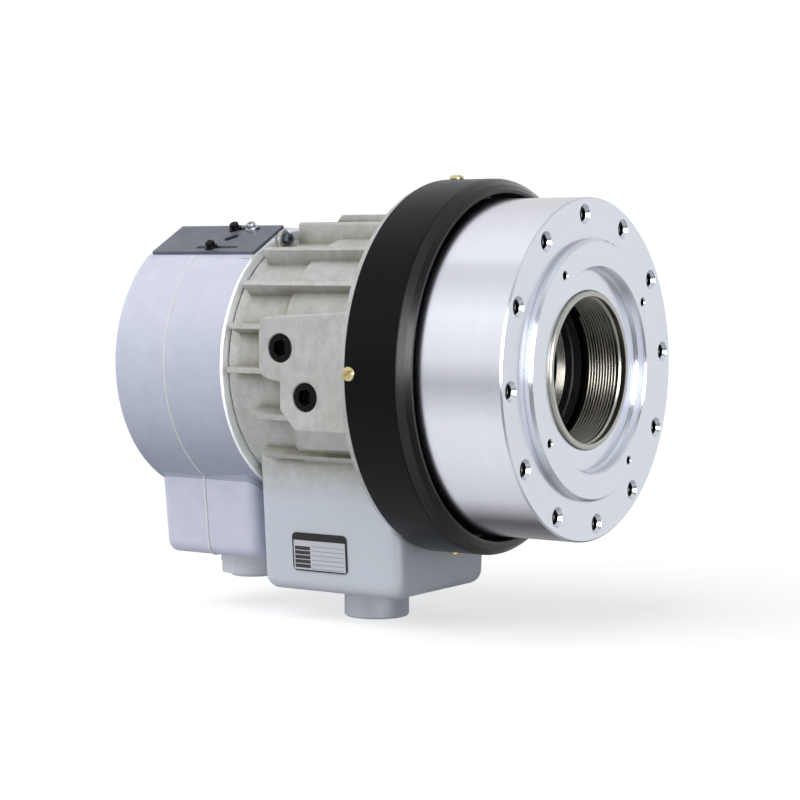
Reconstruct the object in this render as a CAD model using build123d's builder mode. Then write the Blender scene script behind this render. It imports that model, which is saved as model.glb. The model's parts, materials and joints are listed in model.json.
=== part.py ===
from build123d import *
import os
from math import atan2, cos, degrees, radians, sin, tan

# Rotary hydraulic chuck cylinder with an open centre, in millimetres.
# The spindle axis is the X axis. The mounting face lies at x = 0 and looks along +X,
# +Z is up, and the plugged ports look along -Y. Stations along the axis are given as
# distances behind the mounting face.

os.makedirs("parts", exist_ok=True)

# Clearances
running_gap = 0.06      # radial, between pieces that turn or slide on each other
seat_gap = 0.03         # between pieces pressed or fitted together
bolt_gap = 0.5          # radial, round the shank of a bolt
ball_gap = 0.3          # between balls, raceways and cage

# Cylinder body
body_radius = 105.0
body_length = 79.0
front_wall = 24.0
chamber_radius = body_radius - 17.5
spigot_radius = body_radius - 25.0
spigot_height = 5.0
spigot_chamfer = 1.8
recess_radius = spigot_radius - 17.5
recess_floor = 2.0
recess_chamfer = 1.6
edge_chamfer = 1.0

# Holes in the mounting face
face_hole_circle = body_radius - 10.0
face_hole_count = 12
face_hole_radius = 4.25
face_hole_depth = 20.0
face_hole_mouth = 6.25
face_hole_angle = 95.06
small_hole_circle = recess_radius + 8.1
small_hole_count = 4
small_hole_radius = 2.5
small_hole_depth = 14.0
small_hole_mouth = 3.1
small_hole_angle = 125.1

# Piston: nose, disc and tube in one piece
nose_radius = recess_radius - 14.0
flange_spigot = 4.0
piston_rest_gap = 0.5
piston_thickness = 25.0
piston_rear = body_length - flange_spigot - piston_rest_gap
piston_front = piston_rear - piston_thickness
tube_radius = nose_radius - 5.5
bar_radius = tube_radius - 5.5
mouth_radius = nose_radius - 3.3
mouth_groove_front = 2.0
mouth_groove_rear = 3.8
mouth_groove_radius = nose_radius - 2.5
thread_radius = nose_radius - 3.6
thread_end = 27.0
relief_end = 28.1
relief_radius = nose_radius - 2.6
register_radius = nose_radius - 5.1
seal_groove_front = 30.9
seal_groove_rear = 41.3
seal_groove_radius = nose_radius - 2.3
bore_mouth_radius = nose_radius - 7.1

# Flange and distributor shaft
flange_radius = body_radius - 1.0
flange_end = body_length + 16.0
shoulder_end = flange_end + 9.0
distributor_radius = tube_radius + 14.0
shoulder_radius = distributor_radius + 7.0
shaft_relief_radius = tube_radius + 1.5
shaft_land_length = 18.0
nut_thread_radius = distributor_radius - 3.5
passage_circle = distributor_radius - 6.0
passage_radius = 3.0

# Bolts that join flange and body
body_bolt_circle = body_radius - 8.75
body_bolt_radius = 3.4
body_bolt_head_radius = 6.5
body_bolt_head_height = 8.0
body_bolt_socket = 3.4
body_bolt_reach = 20.0
body_bolt_angle = face_hole_angle + 180.0 / face_hole_count

# Check valves in the rim of the flange
valve_radius = 6.5
valve_stem_radius = 4.0
valve_socket = 3.0
valve_seat = body_radius - 27.0
valve_plug = flange_radius - 6.0
valve_station = body_length + 8.0
outlet_radius = 2.5
cross_way_radius = 2.0
front_outlet_circle = body_radius - 11.0
rear_outlet_circle = chamber_radius - 6.5

# Guide pins of the piston
pin_circle = spigot_radius - 12.0
pin_radius = 5.0
pin_depth = 6.0
pin_angle = 50.0

# Guard ring round the turning body
ring_radius = body_radius + 12.5
ring_shoulder = body_length - 14.0
ring_front = ring_shoulder - 7.0
ring_lip_radius = body_radius + 3.7
ring_screw_head = 4.5
ring_screw_dome = 2.6
ring_screw_shank = 2.1
ring_screw_slot = 1.2
ring_screw_slot_depth = 1.1
ring_screw_count = 4

# Housing casting
housing_length = 114.7
flange_face = body_length + 22.3
housing_end = flange_face + housing_length
flange_thickness = 4.7
housing_flange_radius = ring_radius - 2.0
rim_radius = ring_radius - 5.1
rim_wall = 4.4
rim_front = flange_face - 9.3
ring_screw_station = flange_face - 4.5

# Ball bearings
bearing_height = 15.0
bearing_width = 16.0
front_bearing_bore = distributor_radius + 3.0
front_bearing_outside = front_bearing_bore + bearing_height
front_bearing_face = shoulder_end
rear_bearing_bore = distributor_radius - 2.0
rear_bearing_outside = rear_bearing_bore + bearing_height
rear_bearing_face = housing_end - 22.0
ball_radius = 4.6
ball_count = 12
race_height = 5.2
cage_thickness = 2.4
cage_width = 12.6

# Barrel and ribs of the housing
barrel_front_radius = front_bearing_outside + 7.0
barrel_rear_radius = barrel_front_radius - 3.0
barrel_step = housing_end - 41.0
collar_radius = barrel_front_radius + 6.0
collar_end = flange_face + 17.7
joint_radius = barrel_rear_radius + 1.6
joint_flare = 9.0
fin_root = barrel_rear_radius - 3.0
fin_radius = barrel_front_radius + 8.0
fin_thickness = 3.6
fin_draft = 0.5
fin_end = housing_end - 5.6
low_fin_end = housing_end - 19.0
fins = [(55.5, fin_end), (35.8, fin_end), (16.6, fin_end), (-1.2, fin_end), (-20.2, low_fin_end)]
shelf_angle = -42.5
shelf_radius = barrel_front_radius + 3.0
shelf_end = housing_end - 14.0
ear_circle = joint_radius + 3.9
ear_radius = 5.4
ear_thickness = 3.0
ear_angles = (73.0, 107.0)
top_pad_half_width = 15.5
top_pad_height = barrel_front_radius + 9.5
top_pad_end = housing_end - 7.0
top_block_half_width = 11.5
top_block_height = top_pad_height + 4.5
top_block_end = housing_end - 39.0
top_block_ramp = 5.0
pad_rounding = 2.0

# Side bosses
boss_plane = barrel_front_radius + 9.0
boss_root = barrel_front_radius - 22.0
boss_front = flange_face + 2.7
boss_top_front = 36.5
boss_top_rear = 32.0
boss_rear = housing_end - 31.0
boss_split = -5.5
boss_lower_rear = boss_rear - 16.3
boss_lower_end = -25.5
boss_bottom = -37.5
boss_bottom_rear = boss_rear - 27.0
boss_foot = -49.5
boss_foot_plane = barrel_front_radius
boss_corner = 8.0
boss_inner_corner = 6.0
boss_rounding = 1.6

# Oil grooves in the bore, and the ports that lead to them
groove_radius = distributor_radius + 5.0
groove_width = 8.0
drain_groove_radius = distributor_radius + 7.0
drain_groove_width = 10.0
front_drain_groove = front_bearing_face + bearing_width + 3.0
rear_drain_groove = rear_bearing_face - drain_groove_width
port_land = rear_drain_groove - front_drain_groove - drain_groove_width
port_radius = 9.0
port_mouth_radius = 9.7
port_depth = 16.0
port_way_radius = 3.6
front_port = (-rear_drain_groove + 0.68 * port_land, -17.2)
rear_port = (-rear_drain_groove + 0.308 * port_land, 12.7)
drain_way_radius = 4.5

# Drain box under the housing
box_front = boss_front + 1.8
box_rear = housing_end - 2.6
box_top = 25.0 - barrel_front_radius
box_bottom = box_top - 88.0
box_root = box_top + 27.0
box_top_half = barrel_front_radius - 26.5
box_bottom_half = box_top_half - 6.3
box_wall = 7.0
box_corner = 7.0
box_bottom_corner = 9.0
box_cavity_top = box_top - 29.0
box_cavity_half = box_bottom_half - 7.2
box_cavity_corner = 5.0
drain_x = 1.45 - (box_front + box_rear) / 2
drain_boss_radius = 21.1
drain_boss_end = box_bottom - 19.0
drain_hole_radius = 15.1
drain_chamfer = 1.0

# Front bearing cover
cover_outside = front_bearing_outside + 11.0
cover_plate = 3.5
cover_screw_circle = front_bearing_outside + 6.0
cover_screw_count = 6
cover_screw_radius = 2.1
cover_screw_head = 4.0
cover_screw_length = 12.0

# Coolant collector
collector_length = 88.2
gasket_thickness = 0.8
gasket_outside = joint_radius - 0.3
gasket_inside = rear_bearing_outside + 0.6
collector_front = housing_end + gasket_thickness
collector_end = collector_front + collector_length
parting_station = collector_end - 44.0
collector_front_radius = joint_radius + 7.0
collector_middle_radius = collector_front_radius + 2.8
collector_rear_radius = collector_front_radius + 1.4
collector_wall = 4.5
collector_front_rounding = 2.0
collector_rear_rounding = 2.5
collector_front_wall = 5.0
collector_opening = rear_bearing_outside - 4.0
rear_cover_radius = collector_rear_radius - 9.0
rear_cover_thickness = 4.0
rear_cover_opening = tube_radius + 4.0
rear_lip_inside = rear_cover_radius - 10.0
rear_lip_front = collector_end - 8.0
rear_screw_circle = rear_cover_radius - 5.0
rear_screw_count = 6
rear_screw_radius = 1.65
rear_screw_head = 3.4
rear_screw_length = 7.0
collector_screw_radius = 1.9
collector_screw_head = 3.5
collector_screw_height = 4.0
collector_screw_socket = 1.7
inner_screw_circle = gasket_inside + 5.0
inner_screw_count = 4
inner_screw_depth = 10.0
sump_front = collector_front + 4.5
sump_rear = collector_end - 6.5
sump_top = 13.6 - collector_front_radius
sump_bottom = sump_top - 54.0
sump_root = sump_top + 34.0
sump_top_half = collector_front_radius - 36.6
sump_bottom_half = sump_top_half - 5.8
sump_hollow_top = sump_top + 4.0
sump_hollow_corner = 5.0
sump_corner = 6.0
sump_bottom_corner = 9.0
spout_x = 1.2 - parting_station
spout_neck_radius = 21.7
spout_radius = 21.0
spout_tip_radius = 15.2
spout_neck_end = sump_bottom - 7.5
spout_disc_end = spout_neck_end - 7.5
spout_end = spout_disc_end - 2.6
spout_hole_radius = 12.1
bead_height = 0.4
bead_width = 1.2

# Switch plate on the flat of the collector
plate_tilt = 28.5
plate_height = collector_front_radius + 1.5
plate_thickness = 2.3
plate_rear = 3.0 - collector_end
plate_front = -collector_front - 0.6
plate_low = -12.2
plate_high = 23.8
flat_low = -17.0
flat_high = 25.5
slot_width = 3.4
near_slot = (plate_front - 51.1, plate_front - 16.6, -6.2)
far_slot = (plate_front - 40.6, plate_front - 15.4, 19.0)
cross_slot = (plate_front - 30.95, 7.0)
cross_slot_size = (10.0, 5.8)
cross_slot_turn = 43.0
window = (plate_front - 30.6, 6.8)
window_size = (24.0, 11.0)
near_screw_x = plate_front - 38.9
far_screw_x = plate_front - 36.2
bright_screw_x = plate_front - 22.2
plate_screw_shank = 1.5
plate_screw_base = 4.2
plate_screw_base_height = 1.0
plate_screw_head = 3.1
plate_screw_height = 4.5
plate_screw_rounding = 1.1
plate_screw_socket = 1.45
plate_screw_reach = 4.8

# Name plate, left bare
badge_length = 42.2
badge_height = 24.6
badge_front = -box_front - 39.8
badge_low = box_bottom + 14.0
badge_thickness = 0.8
badge_corner = 3.0

# Rear end of the shaft and the tube: lock nut, slinger and stroke ring
shaft_end = housing_end + 8.0
tube_end = collector_end - 9.0
nut_radius = rear_bearing_bore + 9.4
nut_width = 8.0
nut_notch = 6.0
slinger_radius = collector_opening - 1.6
slinger_hub_radius = nut_thread_radius + 4.5
slinger_thickness = 2.0
stroke_ring_front = parting_station + 1.0
stroke_ring_width = 8.0
stroke_ring_radius = tube_radius + 17.0
stroke_screw_radius = 2.0
stroke_screw_length = 8.0
stroke_screw_count = 3

box_draft = degrees(atan2(box_top_half - box_bottom_half, box_top - box_bottom))
flat_height = plate_height - plate_thickness


def square_to_axis(station):
    """Plane square to the spindle axis at a station, looking along +X."""
    return Plane.YZ.offset(-station)


def tilted_plane(height):
    """Plane parallel to the switch plate at a height above the spindle axis."""
    lean = radians(plate_tilt)
    return Plane(
        origin=(0, -height * sin(lean), height * cos(lean)),
        x_dir=(1, 0, 0),
        z_dir=(0, -sin(lean), cos(lean)),
    )


def half_section(*corners):
    """Half section of a turned piece from (station, radius) corners."""
    with BuildSketch(Plane.XZ) as section:
        with BuildLine():
            Polyline(*[(-station, radius) for station, radius in corners], close=True)
        make_face()
    return section.sketch


def ring_section(front, rear, outside, inside):
    """Half section of a plain ring between two stations."""
    return half_section((front, inside), (front, outside), (rear, outside), (rear, inside))


def holes(station, circle, count, angle, radius):
    """Round holes on a circle about the spindle axis, as a sketch at a station."""
    with BuildSketch(square_to_axis(station)) as pattern:
        with PolarLocations(circle, count, angle):
            Circle(radius)
    return pattern.sketch


def rims(piece, *spots):
    """Circular edges about the spindle axis at the given (station, radius) spots."""
    circles = piece.edges().filter_by(GeomType.CIRCLE)
    return [
        edge
        for edge in circles
        if any(
            abs(edge.arc_center.X + station) < 0.01
            and abs(edge.arc_center.Z) < 0.01
            and abs(edge.radius - radius) < 0.01
            for station, radius in spots
        )
    ]


# Cylinder body: one turned cup with the mounting face, the register and the chamber
nose_bore = nose_radius + running_gap
seal_radius = nose_radius + 4.0
nose_chamfer = 0.6
wiper_front = recess_floor + 2.0
wiper_rear = wiper_front + 4.0
nose_seal_front = wiper_rear + 5.0
nose_seal_rear = nose_seal_front + 5.0
wall_way_end = front_wall + 0.5
cross_way_station = wall_way_end + outlet_radius + 0.5

with BuildPart() as cylinder_body:
    revolve(
        half_section(
            (-spigot_height, recess_radius),
            (-spigot_height, spigot_radius),
            (0, spigot_radius),
            (0, body_radius),
            (body_length, body_radius),
            (body_length, chamber_radius),
            (front_wall, chamber_radius),
            (front_wall, nose_bore),
            (nose_seal_rear, nose_bore),
            (nose_seal_rear, seal_radius),
            (nose_seal_front, seal_radius),
            (nose_seal_front, nose_bore),
            (wiper_rear, nose_bore),
            (wiper_rear, seal_radius),
            (wiper_front, seal_radius),
            (wiper_front, nose_bore),
            (recess_floor + nose_chamfer, nose_bore),
            (recess_floor, nose_bore + nose_chamfer),
            (recess_floor, recess_radius - recess_chamfer),
            (recess_floor - recess_chamfer, recess_radius),
        ),
        axis=Axis.X,
    )
    chamfer(rims(cylinder_body, (-spigot_height, spigot_radius)), spigot_chamfer)
    outer_rims = ((0, body_radius), (body_length, body_radius), (-spigot_height, recess_radius))
    chamfer(rims(cylinder_body, *outer_rims), edge_chamfer)
    with Locations(square_to_axis(0)):
        with PolarLocations(face_hole_circle, face_hole_count, face_hole_angle):
            CounterSinkHole(face_hole_radius, face_hole_mouth, face_hole_depth, 90)
    with Locations(square_to_axis(-spigot_height)):
        with PolarLocations(small_hole_circle, small_hole_count, small_hole_angle):
            CounterSinkHole(small_hole_radius, small_hole_mouth, small_hole_depth, 90)
    bolt_holes = holes(
        body_length, body_bolt_circle, face_hole_count, body_bolt_angle, body_bolt_radius + seat_gap
    )
    extrude(bolt_holes, amount=body_bolt_reach + 1, mode=Mode.SUBTRACT)
    pin_holes = holes(front_wall, pin_circle, 2, pin_angle, pin_radius + seat_gap)
    extrude(pin_holes, amount=pin_depth + seat_gap, mode=Mode.SUBTRACT)
    # oil way along the wall and across into the front of the chamber
    wall_way = holes(body_length, front_outlet_circle, 1, 0, outlet_radius)
    extrude(wall_way, amount=body_length - wall_way_end, mode=Mode.SUBTRACT)
    with BuildSketch(Plane.XZ.offset(-front_outlet_circle)):
        with Locations((-cross_way_station, 0)):
            Circle(cross_way_radius)
    extrude(amount=front_outlet_circle - chamber_radius + 2, mode=Mode.SUBTRACT)
cylinder_body.part.label = "cylinder_body"
export_step(cylinder_body.part, "parts/cylinder_body.step")

# Wiper and seal round the piston nose, the wiper with its lip towards the face
wiper_back_radius = nose_radius + 1.5
wiper_lip_end = wiper_front + 1.5
with BuildPart() as nose_wiper:
    revolve(
        half_section(
            (wiper_front + seat_gap, nose_bore),
            (wiper_front + seat_gap, seal_radius - seat_gap),
            (wiper_rear - seat_gap, seal_radius - seat_gap),
            (wiper_rear - seat_gap, wiper_back_radius),
            (wiper_lip_end, wiper_back_radius),
        ),
        axis=Axis.X,
    )
nose_wiper.part.label = "nose_wiper"
export_step(nose_wiper.part, "parts/nose_wiper.step")

with BuildPart() as nose_seal:
    revolve(
        ring_section(
            nose_seal_front + seat_gap,
            nose_seal_rear - seat_gap,
            seal_radius - seat_gap,
            nose_bore,
        ),
        axis=Axis.X,
    )
nose_seal.part.label = "nose_seal"
export_step(nose_seal.part, "parts/nose_seal.step")

# Distributor shaft: flange, shoulder, bearing seats and distributor land in one forging
shaft_bore = tube_radius + running_gap
tube_seal_front = body_length + 0.5
tube_seal_rear = tube_seal_front + 3.5
tube_seal_radius = tube_radius + 4.0
spigot_face = body_length - flange_spigot
spigot_fit = chamber_radius - seat_gap
o_ring_front = body_length - 3.2
o_ring_rear = body_length - 0.9
o_ring_radius = chamber_radius - 2.4
front_clip_station = front_bearing_face + bearing_width
front_clip_width = 2.0
front_clip_radius = front_bearing_bore - 1.8
front_seat_end = front_clip_station + front_clip_width + 1.0
rear_seat_end = rear_bearing_face + bearing_width
land_start = shaft_end - shaft_land_length
bolt_seat = flange_end - body_bolt_head_height - bolt_gap

with BuildPart() as distributor_shaft:
    revolve(
        half_section(
            (spigot_face, shaft_bore),
            (spigot_face, spigot_fit),
            (o_ring_front, spigot_fit),
            (o_ring_front, o_ring_radius),
            (o_ring_rear, o_ring_radius),
            (o_ring_rear, spigot_fit),
            (body_length, spigot_fit),
            (body_length, flange_radius),
            (flange_end, flange_radius),
            (flange_end, shoulder_radius),
            (shoulder_end, shoulder_radius),
            (shoulder_end, front_bearing_bore),
            (front_clip_station, front_bearing_bore),
            (front_clip_station, front_clip_radius),
            (front_clip_station + front_clip_width, front_clip_radius),
            (front_clip_station + front_clip_width, front_bearing_bore),
            (front_seat_end, front_bearing_bore),
            (front_seat_end, distributor_radius),
            (rear_bearing_face, distributor_radius),
            (rear_bearing_face, rear_bearing_bore),
            (rear_seat_end, rear_bearing_bore),
            (rear_seat_end, nut_thread_radius),
            (shaft_end, nut_thread_radius),
            (shaft_end, shaft_bore),
            (land_start, shaft_bore),
            (land_start, shaft_relief_radius),
            (flange_end, shaft_relief_radius),
            (flange_end, shaft_bore),
            (tube_seal_rear, shaft_bore),
            (tube_seal_rear, tube_seal_radius),
            (tube_seal_front, tube_seal_radius),
            (tube_seal_front, shaft_bore),
        ),
        axis=Axis.X,
    )
    chamfer(rims(distributor_shaft, (flange_end, flange_radius)), edge_chamfer)
    bolt_holes = holes(
        flange_end, body_bolt_circle, face_hole_count, body_bolt_angle, body_bolt_radius + bolt_gap
    )
    extrude(bolt_holes, amount=flange_end - body_length, mode=Mode.SUBTRACT)
    head_holes = holes(
        flange_end, body_bolt_circle, face_hole_count, body_bolt_angle, body_bolt_head_radius + bolt_gap
    )
    extrude(head_holes, amount=flange_end - bolt_seat, mode=Mode.SUBTRACT)
    pin_holes = holes(spigot_face, pin_circle, 2, pin_angle, pin_radius + seat_gap)
    extrude(pin_holes, amount=-pin_depth - seat_gap, mode=Mode.SUBTRACT)
    # two oil ways: along the shaft, outwards in the flange, and forward to a chamber
    oil_ways = ((1, front_port[0], front_outlet_circle), (-1, rear_port[0], rear_outlet_circle))
    for side, groove_x, outlet_circle in oil_ways:
        with BuildSketch(Plane.YZ.offset(groove_x)):
            with Locations((side * passage_circle, 0)):
                Circle(passage_radius)
        extrude(amount=-groove_x - valve_station, mode=Mode.SUBTRACT)
        with BuildSketch(Plane.XZ.offset(-side * passage_circle)):
            with Locations((groove_x, 0)):
                Circle(passage_radius)
        extrude(amount=-side * (distributor_radius - passage_circle + 1), mode=Mode.SUBTRACT)
        with BuildSketch(Plane.XZ.offset(-side * passage_circle)):
            with Locations((-valve_station, 0)):
                Circle(passage_radius)
        extrude(amount=-side * (valve_seat - passage_circle), mode=Mode.SUBTRACT)
        with BuildSketch(Plane.XZ.offset(-side * valve_seat)):
            with Locations((-valve_station, 0)):
                Circle(valve_radius)
        extrude(amount=-side * (flange_radius - valve_seat + 1), mode=Mode.SUBTRACT)
        with BuildSketch(square_to_axis(valve_station)):
            with Locations((side * outlet_circle, 0)):
                Circle(outlet_radius)
        extrude(amount=valve_station - spigot_face, mode=Mode.SUBTRACT)
distributor_shaft.part.label = "distributor_shaft"
export_step(distributor_shaft.part, "parts/distributor_shaft.step")

with BuildPart() as flange_o_ring:
    revolve(
        ring_section(
            o_ring_front + seat_gap,
            o_ring_rear - seat_gap,
            chamber_radius - seat_gap,
            o_ring_radius + seat_gap,
        ),
        axis=Axis.X,
    )
flange_o_ring.part.label = "flange_o_ring"
export_step(flange_o_ring.part, "parts/flange_o_ring.step")

with BuildPart() as tube_seal:
    revolve(
        ring_section(
            tube_seal_front + seat_gap,
            tube_seal_rear - seat_gap,
            tube_seal_radius - seat_gap,
            shaft_bore,
        ),
        axis=Axis.X,
    )
tube_seal.part.label = "tube_seal"
export_step(tube_seal.part, "parts/tube_seal.step")

# Socket head bolts from the flange into the body wall
with BuildPart() as body_bolts:
    with BuildSketch(square_to_axis(bolt_seat + seat_gap)):
        with PolarLocations(body_bolt_circle, face_hole_count, body_bolt_angle):
            Circle(body_bolt_head_radius)
    extrude(amount=-body_bolt_head_height)
    shanks = holes(bolt_seat + seat_gap, body_bolt_circle, face_hole_count, body_bolt_angle, body_bolt_radius)
    extrude(shanks, amount=bolt_seat - body_length + body_bolt_reach)
    with BuildSketch(square_to_axis(bolt_seat + body_bolt_head_height + seat_gap)):
        with PolarLocations(body_bolt_circle, face_hole_count, body_bolt_angle):
            RegularPolygon(body_bolt_socket, 6)
    extrude(amount=body_bolt_head_height / 2, mode=Mode.SUBTRACT)
body_bolts.part.label = "body_bolts"
export_step(body_bolts.part, "parts/body_bolts.step")

# Check valve cartridges: a stem in the oil way and a hexagon socket plug in the rim
with BuildPart() as check_valves:
    for side in (1, -1):
        with BuildSketch(Plane.XZ.offset(-side * (valve_seat + 1))):
            with Locations((-valve_station, 0)):
                Circle(valve_stem_radius)
        extrude(amount=-side * (valve_plug - valve_seat - 1))
        with BuildSketch(Plane.XZ.offset(-side * valve_plug)):
            with Locations((-valve_station, 0)):
                Circle(valve_radius - seat_gap)
        extrude(amount=-side * (flange_radius - valve_plug - 0.6))
        with BuildSketch(Plane.XZ.offset(-side * flange_radius)):
            with Locations((-valve_station, 0)):
                RegularPolygon(valve_socket, 6)
        extrude(amount=side * (flange_radius - valve_plug - 2.0), mode=Mode.SUBTRACT)
check_valves.part.label = "check_valve_cartridges"
export_step(check_valves.part, "parts/check_valve_cartridges.step")

# Guide pins across the chamber that keep the piston turning with the body
with BuildPart() as guide_pins:
    pin_discs = holes(spigot_face + pin_depth, pin_circle, 2, pin_angle, pin_radius)
    extrude(pin_discs, amount=spigot_face - front_wall + 2 * pin_depth)
guide_pins.part.label = "piston_guide_pins"
export_step(guide_pins.part, "parts/piston_guide_pins.step")

# Piston: nose with the draw tube thread, disc, and tube that carries the bars through
disc_radius = chamber_radius - running_gap
wear_front = piston_front + 4.0
wear_rear = wear_front + 7.0
wear_depth = 2.0
ring_groove_front = piston_rear - 9.0
ring_groove_rear = piston_rear - 3.5
ring_groove_depth = 5.0
thread_front = mouth_groove_rear + mouth_groove_radius - thread_radius
bore_mouth_end = seal_groove_rear + bore_mouth_radius - bar_radius

with BuildPart() as piston:
    revolve(
        half_section(
            (0, mouth_radius),
            (0, nose_radius),
            (piston_front, nose_radius),
            (piston_front, disc_radius),
            (wear_front, disc_radius),
            (wear_front, disc_radius - wear_depth),
            (wear_rear, disc_radius - wear_depth),
            (wear_rear, disc_radius),
            (ring_groove_front, disc_radius),
            (ring_groove_front, disc_radius - ring_groove_depth),
            (ring_groove_rear, disc_radius - ring_groove_depth),
            (ring_groove_rear, disc_radius),
            (piston_rear, disc_radius),
            (piston_rear, tube_radius),
            (tube_end, tube_radius),
            (tube_end, bar_radius),
            (bore_mouth_end, bar_radius),
            (seal_groove_rear, bore_mouth_radius),
            (seal_groove_rear, seal_groove_radius),
            (seal_groove_front, seal_groove_radius),
            (seal_groove_front, register_radius),
            (relief_end, register_radius),
            (relief_end, relief_radius),
            (thread_end, relief_radius),
            (thread_end, thread_radius),
            (thread_front, thread_radius),
            (mouth_groove_rear, mouth_groove_radius),
            (mouth_groove_front, mouth_groove_radius),
            (mouth_groove_front, mouth_radius),
        ),
        axis=Axis.X,
    )
    nose_rims = ((0, nose_radius), (tube_end, tube_radius), (tube_end, bar_radius))
    chamfer(rims(piston, *nose_rims), edge_chamfer / 2)
    pin_holes = holes(piston_rear, pin_circle, 2, pin_angle, pin_radius + running_gap)
    extrude(pin_holes, amount=piston_thickness, mode=Mode.SUBTRACT)
piston.part.label = "piston"
export_step(piston.part, "parts/piston.step")

with BuildPart() as piston_seal:
    revolve(
        ring_section(
            ring_groove_front + seat_gap,
            ring_groove_rear - seat_gap,
            disc_radius,
            disc_radius - ring_groove_depth + seat_gap,
        ),
        axis=Axis.X,
    )
piston_seal.part.label = "piston_seal"
export_step(piston_seal.part, "parts/piston_seal.step")

with BuildPart() as wear_ring:
    revolve(
        ring_section(
            wear_front + seat_gap,
            wear_rear - seat_gap,
            disc_radius,
            disc_radius - wear_depth + seat_gap,
        ),
        axis=Axis.X,
    )
wear_ring.part.label = "piston_wear_ring"
export_step(wear_ring.part, "parts/piston_wear_ring.step")

# Lip seal that closes round the draw tube, with a shallow vee between its two lips
seal_middle = (seal_groove_front + seal_groove_rear) / 2
lip_radius = register_radius - 0.6
lip_shoulder_radius = register_radius - 0.2
vee_radius = register_radius + 0.8
vee_half = 1.2
with BuildPart() as draw_tube_seal:
    revolve(
        half_section(
            (seal_groove_front + seat_gap, seal_groove_radius - seat_gap),
            (seal_groove_front + seat_gap, lip_shoulder_radius),
            (seal_middle - vee_half, lip_radius),
            (seal_middle, vee_radius),
            (seal_middle + vee_half, lip_radius),
            (seal_groove_rear - seat_gap, lip_shoulder_radius),
            (seal_groove_rear - seat_gap, seal_groove_radius - seat_gap),
        ),
        axis=Axis.X,
    )
draw_tube_seal.part.label = "draw_tube_seal"
export_step(draw_tube_seal.part, "parts/draw_tube_seal.step")

# Ring on the piston tube that the stroke switches see, with its set screws
with BuildPart() as stroke_ring:
    ring_rear = stroke_ring_front + stroke_ring_width
    revolve(
        ring_section(stroke_ring_front, ring_rear, stroke_ring_radius, tube_radius + seat_gap),
        axis=Axis.X,
    )
    ring_faces = ((stroke_ring_front, stroke_ring_radius), (ring_rear, stroke_ring_radius))
    chamfer(rims(stroke_ring, *ring_faces), edge_chamfer / 2)
    for step in range(stroke_screw_count):
        with BuildSketch(Plane.XY.rotated((step * 360 / stroke_screw_count, 0, 0))):
            with Locations((-stroke_ring_front - stroke_ring_width / 2, 0)):
                Circle(stroke_screw_radius + seat_gap)
        extrude(amount=stroke_ring_radius + 1, mode=Mode.SUBTRACT)
stroke_ring.part.label = "stroke_ring"
export_step(stroke_ring.part, "parts/stroke_ring.step")

with BuildPart() as stroke_screws:
    for step in range(stroke_screw_count):
        turned = Plane.XY.rotated((step * 360 / stroke_screw_count, 0, 0))
        with BuildSketch(turned.offset(tube_radius + 0.1)):
            with Locations((-stroke_ring_front - stroke_ring_width / 2, 0)):
                Circle(stroke_screw_radius)
        extrude(amount=stroke_screw_length)
stroke_screws.part.label = "stroke_ring_set_screws"
export_step(stroke_screws.part, "parts/stroke_ring_set_screws.step")


def inner_race(face, bore):
    """Inner ring of a deep groove ball bearing."""
    pitch = bore + bearing_height / 2
    with BuildPart() as race:
        section = ring_section(face, face + bearing_width, bore + race_height, bore + seat_gap)
        revolve(section, axis=Axis.X)
        with Locations(square_to_axis(face + bearing_width / 2)):
            Torus(pitch, ball_radius + ball_gap, mode=Mode.SUBTRACT)
    return race.part


def outer_race(face, outside):
    """Outer ring of a deep groove ball bearing."""
    pitch = outside - bearing_height / 2
    with BuildPart() as race:
        section = ring_section(
            face, face + bearing_width, outside - seat_gap, outside - race_height
        )
        revolve(section, axis=Axis.X)
        with Locations(square_to_axis(face + bearing_width / 2)):
            Torus(pitch, ball_radius + ball_gap, mode=Mode.SUBTRACT)
    return race.part


def ball_set(face, pitch):
    """Balls of one bearing, spaced round its pitch circle."""
    with BuildPart() as balls:
        with Locations(square_to_axis(face + bearing_width / 2)):
            with PolarLocations(pitch, ball_count):
                Sphere(ball_radius)
    return balls.part


def ball_cage(face, pitch):
    """Cage ring with one round pocket for each ball."""
    middle = face + bearing_width / 2
    with BuildPart() as cage:
        revolve(
            ring_section(
                middle - cage_width / 2,
                middle + cage_width / 2,
                pitch + cage_thickness / 2,
                pitch - cage_thickness / 2,
            ),
            axis=Axis.X,
        )
        for step in range(ball_count):
            with BuildSketch(Plane.XY.rotated((step * 360 / ball_count - 90, 0, 0))):
                with Locations((-middle, 0)):
                    Circle(ball_radius + ball_gap)
            extrude(amount=pitch + cage_thickness, mode=Mode.SUBTRACT)
    return cage.part


# Front bearing, between the shaft shoulder and the housing
front_pitch = (front_bearing_bore + front_bearing_outside) / 2
with BuildPart() as front_inner:
    add(inner_race(front_bearing_face, front_bearing_bore))
front_inner.part.label = "front_bearing_inner_ring"
export_step(front_inner.part, "parts/front_bearing_inner_ring.step")

with BuildPart() as front_outer:
    add(outer_race(front_bearing_face, front_bearing_outside))
front_outer.part.label = "front_bearing_outer_ring"
export_step(front_outer.part, "parts/front_bearing_outer_ring.step")

with BuildPart() as front_balls:
    add(ball_set(front_bearing_face, front_pitch))
front_balls.part.label = "front_bearing_balls"
export_step(front_balls.part, "parts/front_bearing_balls.step")

with BuildPart() as front_cage:
    add(ball_cage(front_bearing_face, front_pitch))
front_cage.part.label = "front_bearing_cage"
export_step(front_cage.part, "parts/front_bearing_cage.step")

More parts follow.
